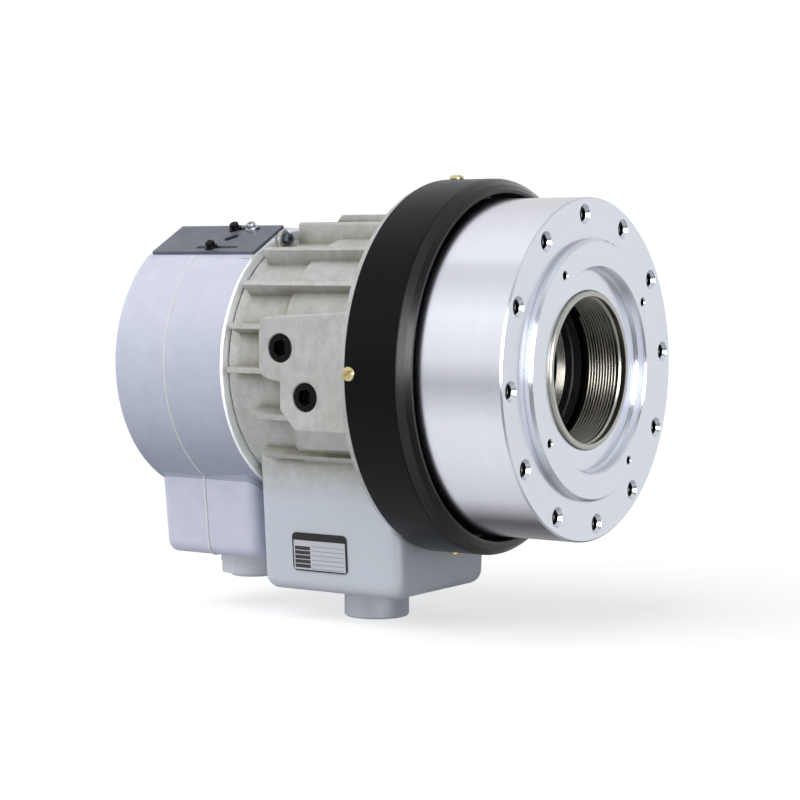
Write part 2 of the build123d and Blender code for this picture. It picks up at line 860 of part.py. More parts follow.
# Rear bearing, between the distributor land and the housing
rear_pitch = (rear_bearing_bore + rear_bearing_outside) / 2
with BuildPart() as rear_inner:
    add(inner_race(rear_bearing_face, rear_bearing_bore))
rear_inner.part.label = "rear_bearing_inner_ring"
export_step(rear_inner.part, "parts/rear_bearing_inner_ring.step")

with BuildPart() as rear_outer:
    add(outer_race(rear_bearing_face, rear_bearing_outside))
rear_outer.part.label = "rear_bearing_outer_ring"
export_step(rear_outer.part, "parts/rear_bearing_outer_ring.step")

with BuildPart() as rear_balls:
    add(ball_set(rear_bearing_face, rear_pitch))
rear_balls.part.label = "rear_bearing_balls"
export_step(rear_balls.part, "parts/rear_bearing_balls.step")

with BuildPart() as rear_cage:
    add(ball_cage(rear_bearing_face, rear_pitch))
rear_cage.part.label = "rear_bearing_cage"
export_step(rear_cage.part, "parts/rear_bearing_cage.step")

# Snap rings: one on the shaft behind the front bearing, one in the housing at the rear
snap_gap = 9.0
clip_clearance = 0.1
with BuildPart() as front_clip:
    clip_front = front_clip_station + clip_clearance
    clip_rear = front_clip_station + front_clip_width - clip_clearance
    revolve(
        ring_section(clip_front, clip_rear, front_bearing_bore + 3.4, front_clip_radius + seat_gap),
        axis=Axis.X,
    )
    with BuildSketch(square_to_axis(front_seat_end)):
        with Locations((0, front_bearing_bore)):
            Rectangle(snap_gap, 3 * snap_gap)
    extrude(amount=2 * front_clip_width, mode=Mode.SUBTRACT)
front_clip.part.label = "front_bearing_retaining_ring"
export_step(front_clip.part, "parts/front_bearing_retaining_ring.step")

rear_clip_station = rear_bearing_face + bearing_width + 0.2
rear_clip_width = 2.0
rear_clip_radius = rear_bearing_outside + 2.5
with BuildPart() as rear_clip:
    clip_front = rear_clip_station + clip_clearance
    clip_rear = rear_clip_station + rear_clip_width - clip_clearance
    revolve(
        ring_section(clip_front, clip_rear, rear_clip_radius - seat_gap, rear_bearing_outside - 3.8),
        axis=Axis.X,
    )
    with BuildSketch(square_to_axis(rear_clip_station + 2 * rear_clip_width)):
        with Locations((0, -rear_bearing_outside)):
            Rectangle(snap_gap, 3 * snap_gap)
    extrude(amount=4 * rear_clip_width, mode=Mode.SUBTRACT)
rear_clip.part.label = "rear_bearing_retaining_ring"
export_step(rear_clip.part, "parts/rear_bearing_retaining_ring.step")

# Lock nut with four spanner notches, against the rear inner ring
nut_front = rear_seat_end + 0.1
with BuildPart() as lock_nut:
    revolve(
        ring_section(nut_front, nut_front + nut_width, nut_radius, nut_thread_radius + seat_gap),
        axis=Axis.X,
    )
    with BuildSketch(square_to_axis(nut_front + nut_width)):
        with PolarLocations(nut_radius, 4, 45):
            Rectangle(nut_notch, nut_notch)
    extrude(amount=nut_width, mode=Mode.SUBTRACT)
lock_nut.part.label = "rear_lock_nut"
export_step(lock_nut.part, "parts/rear_lock_nut.step")

# Slinger that throws coolant off the shaft end into the collector
slinger_front = nut_front + nut_width + 0.1
with BuildPart() as slinger:
    revolve(
        half_section(
            (slinger_front, nut_thread_radius + seat_gap),
            (slinger_front, slinger_hub_radius),
            (shaft_end - slinger_thickness, slinger_hub_radius),
            (shaft_end - slinger_thickness, slinger_radius),
            (shaft_end, slinger_radius),
            (shaft_end, nut_thread_radius + seat_gap),
        ),
        axis=Axis.X,
    )
slinger.part.label = "coolant_slinger"
export_step(slinger.part, "parts/coolant_slinger.step")


def side_boss():
    """Boss of one side: flat port face, lower rear corner cut back, bevelled foot."""
    outline = (
        (-boss_front, boss_top_front),
        (-boss_rear, boss_top_rear),
        (-boss_rear, boss_split),
        (-boss_lower_rear, boss_split - 3.0),
        (-boss_lower_rear, boss_lower_end),
        (-boss_bottom_rear, boss_bottom),
        (-boss_front, boss_bottom),
    )
    foot = (
        (-boss_plane, boss_bottom),
        (-boss_foot_plane, boss_foot),
        (-boss_root, boss_foot),
        (-boss_root, boss_bottom),
    )
    with BuildPart() as boss:
        with BuildSketch(Plane.XZ.offset(boss_plane)) as face:
            with BuildLine():
                Polyline(*outline, close=True)
            make_face()
            corners = face.vertices().sort_by(Axis.X)
            fillet(corners[:2], boss_corner)
            fillet(corners[2:5], boss_inner_corner)
        extrude(amount=boss_root - boss_plane)
        with BuildSketch(square_to_axis(boss_front)):
            with BuildLine():
                Polyline(*foot, close=True)
            make_face()
        extrude(amount=boss_front - boss_bottom_rear)
        port_face = boss.faces().sort_by(Axis.Y)[0]
        fillet(port_face.edges(), boss_rounding)
    return boss.part


def drain_box():
    """Box under the housing, with drafted sides and rounded corners."""
    slope = (box_top_half - box_bottom_half) / (box_top - box_bottom)
    root_half = box_top_half + slope * (box_root - box_top)
    with BuildPart() as box:
        with BuildSketch(square_to_axis(box_rear)):
            with BuildLine():
                Polyline(
                    (-root_half, box_root),
                    (-box_bottom_half, box_bottom),
                    (box_bottom_half, box_bottom),
                    (root_half, box_root),
                    close=True,
                )
            make_face()
        extrude(amount=box_rear - box_front)
        corners = box.edges().filter_by(lambda edge: abs((edge @ 1 - edge @ 0).Z) > box_corner)
        fillet(corners, box_corner)
        fillet(box.edges().group_by(Axis.Z)[0], box_bottom_corner)
    return box.part


def top_pad():
    """Long pad on top of the housing with a higher block on its front part."""
    with BuildPart() as pad:
        with BuildSketch(square_to_axis(top_pad_end)):
            with Locations((0, (top_pad_height + boss_root) / 2)):
                Rectangle(2 * top_pad_half_width, top_pad_height - boss_root)
        extrude(amount=top_pad_end - boss_front)
        fillet(pad.edges().group_by(Axis.Z)[-1].filter_by(Axis.X), pad_rounding)
        with BuildSketch(Plane.XZ.offset(-top_block_half_width)):
            with BuildLine():
                Polyline(
                    (-boss_front, top_pad_height - 1),
                    (-boss_front, top_block_height),
                    (-top_block_end, top_block_height),
                    (-top_block_end - top_block_ramp, top_pad_height - 1),
                    close=True,
                )
            make_face()
        extrude(amount=2 * top_block_half_width)
    return pad.part


# Housing: one casting with flange, rim, barrel, ribs, side bosses and drain box
groove_half = groove_width / 2
housing_bore = distributor_radius + running_gap
rim_inside = rim_radius - rim_wall
side_faces = side_boss()

with BuildPart() as housing:
    revolve(
        half_section(
            (rim_front, 0),
            (rim_front, rim_radius),
            (flange_face, rim_radius),
            (flange_face, housing_flange_radius),
            (flange_face + flange_thickness, housing_flange_radius),
            (flange_face + flange_thickness, collar_radius),
            (collar_end, collar_radius),
            (collar_end, barrel_front_radius),
            (barrel_step, barrel_front_radius),
            (barrel_step + 1.5, barrel_rear_radius),
            (housing_end - joint_flare, barrel_rear_radius),
            (housing_end, joint_radius),
            (housing_end, 0),
        ),
        axis=Axis.X,
    )
    chamfer(rims(housing, (flange_face + flange_thickness, housing_flange_radius)), 0.8)
    ribs = [(angle, rear, fin_radius) for angle, rear in fins] + [(shelf_angle, shelf_end, shelf_radius)]
    for angle, rear, tip in ribs:
        for turned in (angle, 180 - angle):
            with BuildSketch(square_to_axis(rear)):
                with PolarLocations(0, 1, turned):
                    Polygon(
                        (fin_root, -fin_thickness / 2 - fin_draft),
                        (tip, -fin_thickness / 2),
                        (tip, fin_thickness / 2),
                        (fin_root, fin_thickness / 2 + fin_draft),
                        align=None,
                    )
            extrude(amount=rear - flange_face - 1)
    add(top_pad())
    add(side_faces)
    mirror(side_faces, about=Plane.XZ)
    add(drain_box())
    for angle in ear_angles:
        with BuildSketch(square_to_axis(housing_end)):
            with PolarLocations(0, 1, angle):
                with Locations((ear_circle, 0)):
                    Circle(ear_radius)
                with Locations((ear_circle - 6, 0)):
                    Rectangle(12, 2 * ear_radius)
        extrude(amount=ear_thickness)
    with BuildSketch(Plane.XY.offset(drain_boss_end)):
        with Locations((drain_x, 0)):
            Circle(drain_boss_radius)
    extrude(amount=box_bottom - drain_boss_end + 2)
    # bore: rim, bearing seats, oil grooves and drain grooves
    revolve(
        half_section(
            (rim_front - 1, 0),
            (rim_front - 1, rim_inside),
            (flange_face, rim_inside),
            (flange_face, front_bearing_outside),
            (front_clip_station, front_bearing_outside),
            (front_clip_station, rear_bearing_outside),
            (front_drain_groove, rear_bearing_outside),
            (front_drain_groove, drain_groove_radius),
            (front_drain_groove + drain_groove_width, drain_groove_radius),
            (front_drain_groove + drain_groove_width, housing_bore),
            (-front_port[0] - groove_half, housing_bore),
            (-front_port[0] - groove_half, groove_radius),
            (-front_port[0] + groove_half, groove_radius),
            (-front_port[0] + groove_half, housing_bore),
            (-rear_port[0] - groove_half, housing_bore),
            (-rear_port[0] - groove_half, groove_radius),
            (-rear_port[0] + groove_half, groove_radius),
            (-rear_port[0] + groove_half, housing_bore),
            (rear_drain_groove, housing_bore),
            (rear_drain_groove, drain_groove_radius),
            (rear_bearing_face, drain_groove_radius),
            (rear_bearing_face, rear_bearing_outside),
            (rear_clip_station, rear_bearing_outside),
            (rear_clip_station, rear_clip_radius),
            (rear_clip_station + rear_clip_width, rear_clip_radius),
            (rear_clip_station + rear_clip_width, rear_bearing_outside),
            (housing_end + 1, rear_bearing_outside),
            (housing_end + 1, 0),
        ),
        axis=Axis.X,
        mode=Mode.SUBTRACT,
    )
    # ports on both sides, each with its way to the oil groove
    for side in (1, -1):
        for port in (front_port, rear_port):
            with BuildSketch(Plane.XZ.offset(side * boss_plane)):
                with Locations(port):
                    Circle(port_radius)
            extrude(amount=-side * port_depth, mode=Mode.SUBTRACT)
            with BuildSketch(Plane.XZ.offset(side * boss_plane)):
                with Locations(port):
                    Circle(port_way_radius)
            extrude(amount=-side * (boss_plane - housing_bore + 1.5), mode=Mode.SUBTRACT)
    mouths = housing.edges().filter_by(GeomType.CIRCLE).filter_by(
        lambda edge: abs(abs(edge.arc_center.Y) - boss_plane) < 0.01 and abs(edge.radius - port_radius) < 0.01
    )
    chamfer(mouths, port_mouth_radius - port_radius)
    # drain: two ways down from the bore, the hollow of the box and its outlet
    with BuildSketch(square_to_axis(box_rear - box_wall)):
        with Locations((0, (box_cavity_top + box_bottom + box_wall) / 2)):
            RectangleRounded(
                2 * box_cavity_half, box_cavity_top - box_bottom - box_wall, box_cavity_corner
            )
    extrude(amount=box_rear - box_front - 2 * box_wall, mode=Mode.SUBTRACT)
    with BuildSketch(Plane.XY.offset(box_cavity_top - 1)):
        with Locations(
            (-front_drain_groove - drain_groove_width / 2, 0),
            (-rear_drain_groove - drain_groove_width / 2, 0),
        ):
            Circle(drain_way_radius)
    extrude(amount=-box_cavity_top - housing_bore, mode=Mode.SUBTRACT)
    with BuildSketch(Plane.XY.offset(drain_boss_end)):
        with Locations((drain_x, 0)):
            Circle(drain_hole_radius)
    extrude(amount=box_bottom - drain_boss_end + box_wall + 1, mode=Mode.SUBTRACT)
    drain_rims = housing.edges().filter_by(GeomType.CIRCLE).filter_by(
        lambda edge: abs(edge.arc_center.Z - drain_boss_end) < 0.01
    )
    chamfer(drain_rims, drain_chamfer)
    # threaded holes: guard ring, front cover, collector
    for step in range(ring_screw_count):
        with BuildSketch(Plane.XY.rotated((step * 360 / ring_screw_count, 0, 0)).offset(rim_inside - 3)):
            with Locations((-ring_screw_station, 0)):
                Circle(ring_screw_shank + seat_gap)
        extrude(amount=rim_wall + 6, mode=Mode.SUBTRACT)
    cover_holes = holes(flange_face, cover_screw_circle, cover_screw_count, 0, cover_screw_radius + seat_gap)
    extrude(cover_holes, amount=-cover_screw_length, mode=Mode.SUBTRACT)
    inner_holes = holes(housing_end, inner_screw_circle, inner_screw_count, 45, collector_screw_radius + seat_gap)
    extrude(inner_holes, amount=inner_screw_depth, mode=Mode.SUBTRACT)
    for angle in ear_angles:
        ear_hole = holes(housing_end, ear_circle, 1, angle, collector_screw_radius + bolt_gap / 2)
        extrude(ear_hole, amount=ear_thickness, mode=Mode.SUBTRACT)
housing.part.label = "housing"
export_step(housing.part, "parts/housing.step")

# Guard ring: a turned ring slipped over the rim, with a cone at its front
ring_inside = rim_radius + seat_gap
lip_depth = 3.0
with BuildPart() as guard_ring:
    revolve(
        half_section(
            (flange_face - seat_gap, ring_inside),
            (flange_face - seat_gap, ring_radius),
            (ring_shoulder, ring_radius),
            (ring_front + 2.5, ring_lip_radius + 5.0),
            (ring_front, ring_lip_radius + 1.8),
            (ring_front, ring_lip_radius),
            (ring_front + lip_depth, ring_lip_radius),
            (ring_front + 2 * lip_depth, ring_inside),
        ),
        axis=Axis.X,
    )
    shoulder_rims = ((ring_shoulder, ring_radius), (flange_face - seat_gap, ring_radius))
    chamfer(rims(guard_ring, shoulder_rims[1]), 0.8)
    fillet(rims(guard_ring, shoulder_rims[0]), 3.0)
    for step in range(ring_screw_count):
        outward = Plane.XY.rotated((step * 360 / ring_screw_count, 0, 0))
        with BuildSketch(outward.offset(ring_inside - 3)):
            with Locations((-ring_screw_station, 0)):
                Circle(ring_screw_shank + bolt_gap / 2)
        extrude(amount=ring_radius - ring_inside + 6, mode=Mode.SUBTRACT)
guard_ring.part.label = "guard_ring"
export_step(guard_ring.part, "parts/guard_ring.step")

# Slotted screws with domed heads round the guard ring
with BuildPart() as ring_screws:
    for step in range(ring_screw_count):
        outward = Plane.XY.rotated((step * 360 / ring_screw_count, 0, 0))
        with BuildSketch(outward.offset(rim_inside + 0.5)):
            with Locations((-ring_screw_station, 0)):
                Circle(ring_screw_shank)
        extrude(amount=ring_radius + 0.1 - rim_inside - 0.5)
        with BuildSketch(outward.offset(ring_radius + 0.1)):
            with Locations((-ring_screw_station, 0)):
                Circle(ring_screw_head)
        extrude(amount=ring_screw_dome)
    head_tops = ring_screws.edges().filter_by(GeomType.CIRCLE).filter_by(
        lambda edge: abs(edge.arc_center.Y) > ring_radius + 1 or abs(edge.arc_center.Z) > ring_radius + 1
    )
    fillet(head_tops, ring_screw_dome - 0.5)
    for step in range(ring_screw_count):
        outward = Plane.XY.rotated((step * 360 / ring_screw_count, 0, 0))
        with BuildSketch(outward.offset(ring_radius + ring_screw_dome + 0.2)):
            with Locations((-ring_screw_station, 0)):
                Rectangle(2 * ring_screw_head + 1, ring_screw_slot, rotation=35)
        extrude(amount=-ring_screw_slot_depth - 0.2, mode=Mode.SUBTRACT)
ring_screws.part.label = "guard_ring_screws"
export_step(ring_screws.part, "parts/guard_ring_screws.step")

# Front bearing cover, its spigot holding the outer ring, with countersunk screws
cover_spigot_end = front_bearing_face - 0.1
cover_front = flange_face - cover_plate
cover_inside = shoulder_radius + 0.6
with BuildPart() as front_cover:
    revolve(
        half_section(
            (cover_front, cover_inside),
            (cover_front, cover_outside),
            (flange_face - seat_gap, cover_outside),
            (flange_face - seat_gap, front_bearing_outside - seat_gap),
            (cover_spigot_end, front_bearing_outside - seat_gap),
            (cover_spigot_end, front_bearing_outside - race_height),
            (flange_face, cover_inside + 2.0),
            (flange_face - 1.5, cover_inside),
        ),
        axis=Axis.X,
    )
    with Locations(square_to_axis(cover_front)):
        with PolarLocations(cover_screw_circle, cover_screw_count):
            CounterSinkHole(cover_screw_radius + bolt_gap / 2, cover_screw_head, cover_plate, 90)
front_cover.part.label = "front_bearing_cover"
export_step(front_cover.part, "parts/front_bearing_cover.step")


sunk_depth = 0.1


def sunk_screws(station, facing, circle, count, shank, head, length):
    """Countersunk screws with hexagon sockets, their flat heads at a station."""
    cone = head - shank
    with BuildPart() as screws:
        extrude(holes(station, circle, count, 0, head), amount=-facing * cone, taper=45)
        extrude(holes(station, circle, count, 0, shank), amount=-facing * length)
        with BuildSketch(square_to_axis(station)):
            with PolarLocations(circle, count):
                RegularPolygon(0.8 * shank, 6)
        extrude(amount=-facing * shank, mode=Mode.SUBTRACT)
    return screws.part


with BuildPart() as cover_screws:
    add(
        sunk_screws(
            cover_front + sunk_depth,
            1,
            cover_screw_circle,
            cover_screw_count,
            cover_screw_radius,
            cover_screw_head - 2 * sunk_depth,
            cover_screw_length,
        )
    )
cover_screws.part.label = "front_bearing_cover_screws"
export_step(cover_screws.part, "parts/front_bearing_cover_screws.step")

# Plugs with hexagon sockets in the two ports that look along -Y
plug_top = 0.6
plug_length = 11.0
plug_socket = 5.6
plug_chamfer = 1.0
with BuildPart() as port_plugs:
    with BuildSketch(Plane.XZ.offset(boss_plane - plug_top)):
        with Locations(front_port, rear_port):
            Circle(port_radius - seat_gap)
    extrude(amount=-plug_length)
    plug_rims = port_plugs.edges().filter_by(GeomType.CIRCLE).filter_by(
        lambda edge: abs(edge.arc_center.Y + boss_plane - plug_top) < 0.01
    )
    chamfer(plug_rims, plug_chamfer)
    with BuildSketch(Plane.XZ.offset(boss_plane - plug_top)):
        with Locations(front_port, rear_port):
            RegularPolygon(plug_socket, 6, rotation=20)
    extrude(amount=-plug_length / 2, mode=Mode.SUBTRACT)
port_plugs.part.label = "port_plugs"
export_step(port_plugs.part, "parts/port_plugs.step")

# Bare name plate on the drafted side of the drain box
badge_middle = badge_low + badge_height / 2
badge_wall = box_bottom_half + (badge_middle - box_bottom) * tan(radians(box_draft))
badge_face = Plane(
    origin=(badge_front - badge_length / 2, -badge_wall - seat_gap, badge_middle),
    x_dir=(1, 0, 0),
    z_dir=(0, -cos(radians(box_draft)), -sin(radians(box_draft))),
)
with BuildPart() as name_plate:
    with BuildSketch(badge_face):
        RectangleRounded(badge_length, badge_height, badge_corner)
    extrude(amount=badge_thickness)
name_plate.part.label = "name_plate"
export_step(name_plate.part, "parts/name_plate.step")

# Gasket between housing and collector
with BuildPart() as gasket:
    revolve(
        ring_section(
            housing_end + seat_gap, collector_front - seat_gap, gasket_outside, gasket_inside
        ),
        axis=Axis.X,
    )
    inner_holes = holes(
        collector_front, inner_screw_circle, inner_screw_count, 45, collector_screw_radius + 0.3
    )
    extrude(inner_holes, amount=gasket_thickness, mode=Mode.SUBTRACT)
gasket.part.label = "collector_gasket"
export_step(gasket.part, "parts/collector_gasket.step")


def sump_section(station, grow, corner):
    """Outline of the collector's sump across the axis, grown by a small amount."""
    slope = (sump_top_half - sump_bottom_half) / (sump_top - sump_bottom)
    root_half = sump_top_half + slope * (sump_root - sump_top)
    with BuildSketch(square_to_axis(station)) as outline:
        with BuildLine():
            Polyline(
                (-root_half - grow, sump_root),
                (-sump_bottom_half - grow, sump_bottom - grow),
                (sump_bottom_half + grow, sump_bottom - grow),
                (root_half + grow, sump_root),
                close=True,
            )
        make_face()
        fillet(outline.vertices().group_by(Axis.Y)[0], corner)
    return outline.sketch


def sump():
    """Box under the collector with rounded corners, before it joins the round body."""
    with BuildPart() as box:
        extrude(sump_section(sump_rear, 0, sump_bottom_corner), amount=sump_rear - sump_front)
        rear_edges = box.faces().sort_by(Axis.X)[0].edges()
        low_edges = rear_edges.filter_by(lambda edge: (edge @ 0.5).Z < sump_root - 1)
        fillet(low_edges, sump_corner)
        front_edges = box.faces().sort_by(Axis.X)[-1].edges()
        low_edges = front_edges.filter_by(lambda edge: (edge @ 0.5).Z < sump_root - 1)
        fillet(low_edges, sump_corner)
    return box.part


# Collector: round cover of the rear end with a sump and a drain spout, in one casting
inner_front = collector_front_radius - collector_wall
inner_middle = collector_middle_radius - collector_wall
inner_rear = collector_rear_radius - collector_wall
with BuildPart() as collector:
    revolve(
        half_section(
            (collector_front, 0),
            (collector_front, collector_front_radius),
            (parting_station - bead_width / 2, collector_middle_radius),
            (parting_station - bead_width / 4, collector_middle_radius + bead_height),
            (parting_station + bead_width / 4, collector_middle_radius + bead_height),
            (parting_station + bead_width / 2, collector_middle_radius),
            (collector_end, collector_rear_radius),
            (collector_end, 0),
        ),
        axis=Axis.X,
    )
    fillet(rims(collector, (collector_end, collector_rear_radius)), collector_rear_rounding)
    fillet(rims(collector, (collector_front, collector_front_radius)), collector_front_rounding)
    # pad for the switch plate, then everything above its flat is taken away
    flat_middle = (flat_low + flat_high) / 2
    with BuildSketch(tilted_plane(collector_front_radius - 2 * collector_wall)):
        with Locations(((-collector_front - collector_end) / 2, flat_middle)):
            Rectangle(collector_end - collector_front - 0.6, flat_high - flat_low)
    extrude(amount=flat_height - collector_front_radius + 2 * collector_wall)
    with BuildSketch(tilted_plane(flat_height)):
        with Locations(((-collector_front - collector_end) / 2, flat_middle + 10)):
            Rectangle(collector_end - collector_front + 2, flat_high - flat_low + 20)
    extrude(amount=10, mode=Mode.SUBTRACT)
    add(sump())
    bead_front = parting_station - bead_width / 2
    extrude(sump_section(bead_front + bead_width, bead_height, sump_bottom_corner), amount=bead_width)
    with BuildSketch(Plane.XY.offset(spout_neck_end)):
        with Locations((spout_x, 0)):
            Circle(spout_neck_radius)
    extrude(amount=sump_bottom - spout_neck_end + 1)
    with BuildSketch(Plane.XY.offset(spout_disc_end)):
        with Locations((spout_x, 0)):
            Circle(spout_radius)
    extrude(amount=spout_neck_end - spout_disc_end)
    with BuildSketch(Plane.XY.offset(spout_end)):
        with Locations((spout_x, 0)):
            Circle(spout_tip_radius)
    extrude(amount=spout_disc_end - spout_end)
    # hollow: front opening, round chamber, seat of the rear cover
    revolve(
        half_section(
            (collector_front - 1, 0),
            (collector_front - 1, collector_opening),
            (collector_front + collector_front_wall, collector_opening),
            (collector_front + collector_front_wall, inner_front),
            (parting_station, inner_middle - 1.0),
            (rear_lip_front, inner_rear),
            (rear_lip_front, rear_lip_inside),
            (collector_end - rear_cover_thickness, rear_lip_inside),
            (collector_end - rear_cover_thickness, rear_cover_radius + seat_gap),
            (collector_end + 1, rear_cover_radius + seat_gap),
            (collector_end + 1, 0),
        ),
        axis=Axis.X,
        mode=Mode.SUBTRACT,
    )
    sump_floor = sump_bottom + collector_wall
    with BuildSketch(square_to_axis(sump_rear - collector_wall)):
        with Locations((0, (sump_hollow_top + sump_floor) / 2)):
            RectangleRounded(
                2 * (sump_bottom_half - collector_wall), sump_hollow_top - sump_floor, sump_hollow_corner
            )
    extrude(amount=sump_rear - sump_front - 2 * collector_wall, mode=Mode.SUBTRACT)
    with BuildSketch(Plane.XY.offset(spout_end)):
        with Locations((spout_x, 0)):
            Circle(spout_hole_radius)
    extrude(amount=sump_bottom - spout_end + collector_wall + 1, mode=Mode.SUBTRACT)
    spout_rims = collector.edges().filter_by(GeomType.CIRCLE).filter_by(
        lambda edge: abs(edge.arc_center.Z - spout_end) < 0.01
    )
    chamfer(spout_rims, drain_chamfer)
    # window for the stroke switches and the threaded holes of the plate screws
    with BuildSketch(tilted_plane(flat_height)):
        with Locations(window):
            SlotOverall(*window_size)
        with Locations(
            (near_screw_x, near_slot[2]), (far_screw_x, far_slot[2]), (bright_screw_x, far_slot[2])
        ):
            Circle(plate_screw_shank + seat_gap)
    extrude(amount=-16, mode=Mode.SUBTRACT)
    # holes of the screws that hold it to the housing
    for angle in ear_angles:
        ear_hole = holes(collector_front, ear_circle, 1, angle, collector_screw_radius + seat_gap)
        extrude(ear_hole, amount=-collector_front_wall + 1, mode=Mode.SUBTRACT)
    inner_holes = holes(
        collector_front, inner_screw_circle, inner_screw_count, 45, collector_screw_radius + bolt_gap / 2
    )
    extrude(inner_holes, amount=-collector_front_wall, mode=Mode.SUBTRACT)
    cover_holes = holes(
        collector_end, rear_screw_circle, rear_screw_count, 0, rear_screw_radius + seat_gap
    )
    extrude(cover_holes, amount=collector_end - rear_lip_front, mode=Mode.SUBTRACT)
collector.part.label = "collector"
export_step(collector.part, "parts/collector.step")

# Socket head screws of the collector: two from the front in the ears, four from inside
with BuildPart() as collector_screws:
    for angle in ear_angles:
        head_seat = housing_end - ear_thickness - seat_gap
        extrude(holes(head_seat, ear_circle, 1, angle, collector_screw_head), amount=collector_screw_height)
        extrude(
            holes(head_seat, ear_circle, 1, angle, collector_screw_radius),
            amount=head_seat - collector_front - collector_front_wall + 1.5,
        )
        with BuildSketch(square_to_axis(head_seat - collector_screw_height)):
            with PolarLocations(ear_circle, 1, angle):
                RegularPolygon(collector_screw_socket, 6)
        extrude(amount=-collector_screw_height / 2, mode=Mode.SUBTRACT)
    inside_seat = collector_front + collector_front_wall + seat_gap
    heads = holes(inside_seat, inner_screw_circle, inner_screw_count, 45, collector_screw_head)
    extrude(heads, amount=-collector_screw_height)
    shanks = holes(inside_seat, inner_screw_circle, inner_screw_count, 45, collector_screw_radius)
    extrude(shanks, amount=inside_seat - housing_end + inner_screw_depth - 2.0)
    with BuildSketch(square_to_axis(inside_seat + collector_screw_height)):
        with PolarLocations(inner_screw_circle, inner_screw_count, 45):
            RegularPolygon(collector_screw_socket, 6)
    extrude(amount=collector_screw_height / 2, mode=Mode.SUBTRACT)
collector_screws.part.label = "collector_screws"
export_step(collector_screws.part, "parts/collector_screws.step")

# Rear cover of the collector with its countersunk screws
with BuildPart() as rear_cover:
    revolve(
        ring_section(
            collector_end - rear_cover_thickness + seat_gap,
            collector_end,
            rear_cover_radius,
            rear_cover_opening,
        ),
        axis=Axis.X,
    )
    chamfer(rims(rear_cover, (collector_end, rear_cover_opening)), edge_chamfer)
    turned_back = Plane(origin=(-collector_end, 0, 0), x_dir=(0, 1, 0), z_dir=(-1, 0, 0))
    with Locations(turned_back):
        with PolarLocations(rear_screw_circle, rear_screw_count):
            CounterSinkHole(rear_screw_radius + bolt_gap / 2, rear_screw_head, rear_cover_thickness, 90)
rear_cover.part.label = "collector_rear_cover"
export_step(rear_cover.part, "parts/collector_rear_cover.step")

with BuildPart() as rear_cover_screws:
    add(
        sunk_screws(
            collector_end - sunk_depth,
            -1,
            rear_screw_circle,
            rear_screw_count,
            rear_screw_radius,
            rear_screw_head - 2 * sunk_depth,
            rear_screw_length,
        )
    )
rear_cover_screws.part.label = "collector_rear_cover_screws"
export_step(rear_cover_screws.part, "parts/collector_rear_cover_screws.step")

# Switch plate with two long slots and a short slanted one
plate_middle = ((plate_rear + plate_front) / 2, (plate_low + plate_high) / 2)
with BuildPart() as switch_plate:
    with BuildSketch(tilted_plane(flat_height + seat_gap)):
        with Locations(plate_middle):
            Rectangle(plate_front - plate_rear, plate_high - plate_low)
        for slot_rear, slot_front, across in (near_slot, far_slot):
            with Locations(((slot_rear + slot_front) / 2, across)):
                SlotOverall(slot_front - slot_rear, slot_width, mode=Mode.SUBTRACT)
        with Locations(cross_slot):
            SlotOverall(*cross_slot_size, rotation=cross_slot_turn, mode=Mode.SUBTRACT)
    extrude(amount=plate_thickness - seat_gap)
switch_plate.part.label = "switch_plate"
export_step(switch_plate.part, "parts/switch_plate.step")


def plate_screw(x, across):
    """Flanged socket head screw standing in a slot of the switch plate."""
    with BuildPart() as screw:
        with BuildSketch(tilted_plane(plate_height + seat_gap)):
            with Locations((x, across)):
                Circle(plate_screw_base)
        extrude(amount=plate_screw_base_height)
        with BuildSketch(tilted_plane(plate_height + seat_gap)):
            with Locations((x, across)):
                Circle(plate_screw_head)
        extrude(amount=plate_screw_height - seat_gap)
        head = screw.faces().sort_by(Axis((0, 0, 0), tilted_plane(0).z_dir))[-1]
        fillet(head.edges(), plate_screw_rounding)
        with BuildSketch(tilted_plane(plate_height + plate_screw_height)):
            with Locations((x, across)):
                RegularPolygon(plate_screw_socket, 6)
        extrude(amount=-plate_screw_height / 2, mode=Mode.SUBTRACT)
        with BuildSketch(tilted_plane(plate_height + seat_gap)):
            with Locations((x, across)):
                Circle(plate_screw_shank)
        extrude(amount=-plate_screw_reach)
    return screw.part


with BuildPart() as black_screws:
    add(plate_screw(near_screw_x, near_slot[2]))
    add(plate_screw(far_screw_x, far_slot[2]))
black_screws.part.label = "switch_plate_screws"
export_step(black_screws.part, "parts/switch_plate_screws.step")

with BuildPart() as bright_screw:
    add(plate_screw(bright_screw_x, far_slot[2]))
bright_screw.part.label = "bright_plate_screw"
export_step(bright_screw.part, "parts/bright_plate_screw.step")
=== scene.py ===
import json
from math import cos, pi, radians, sin, tau

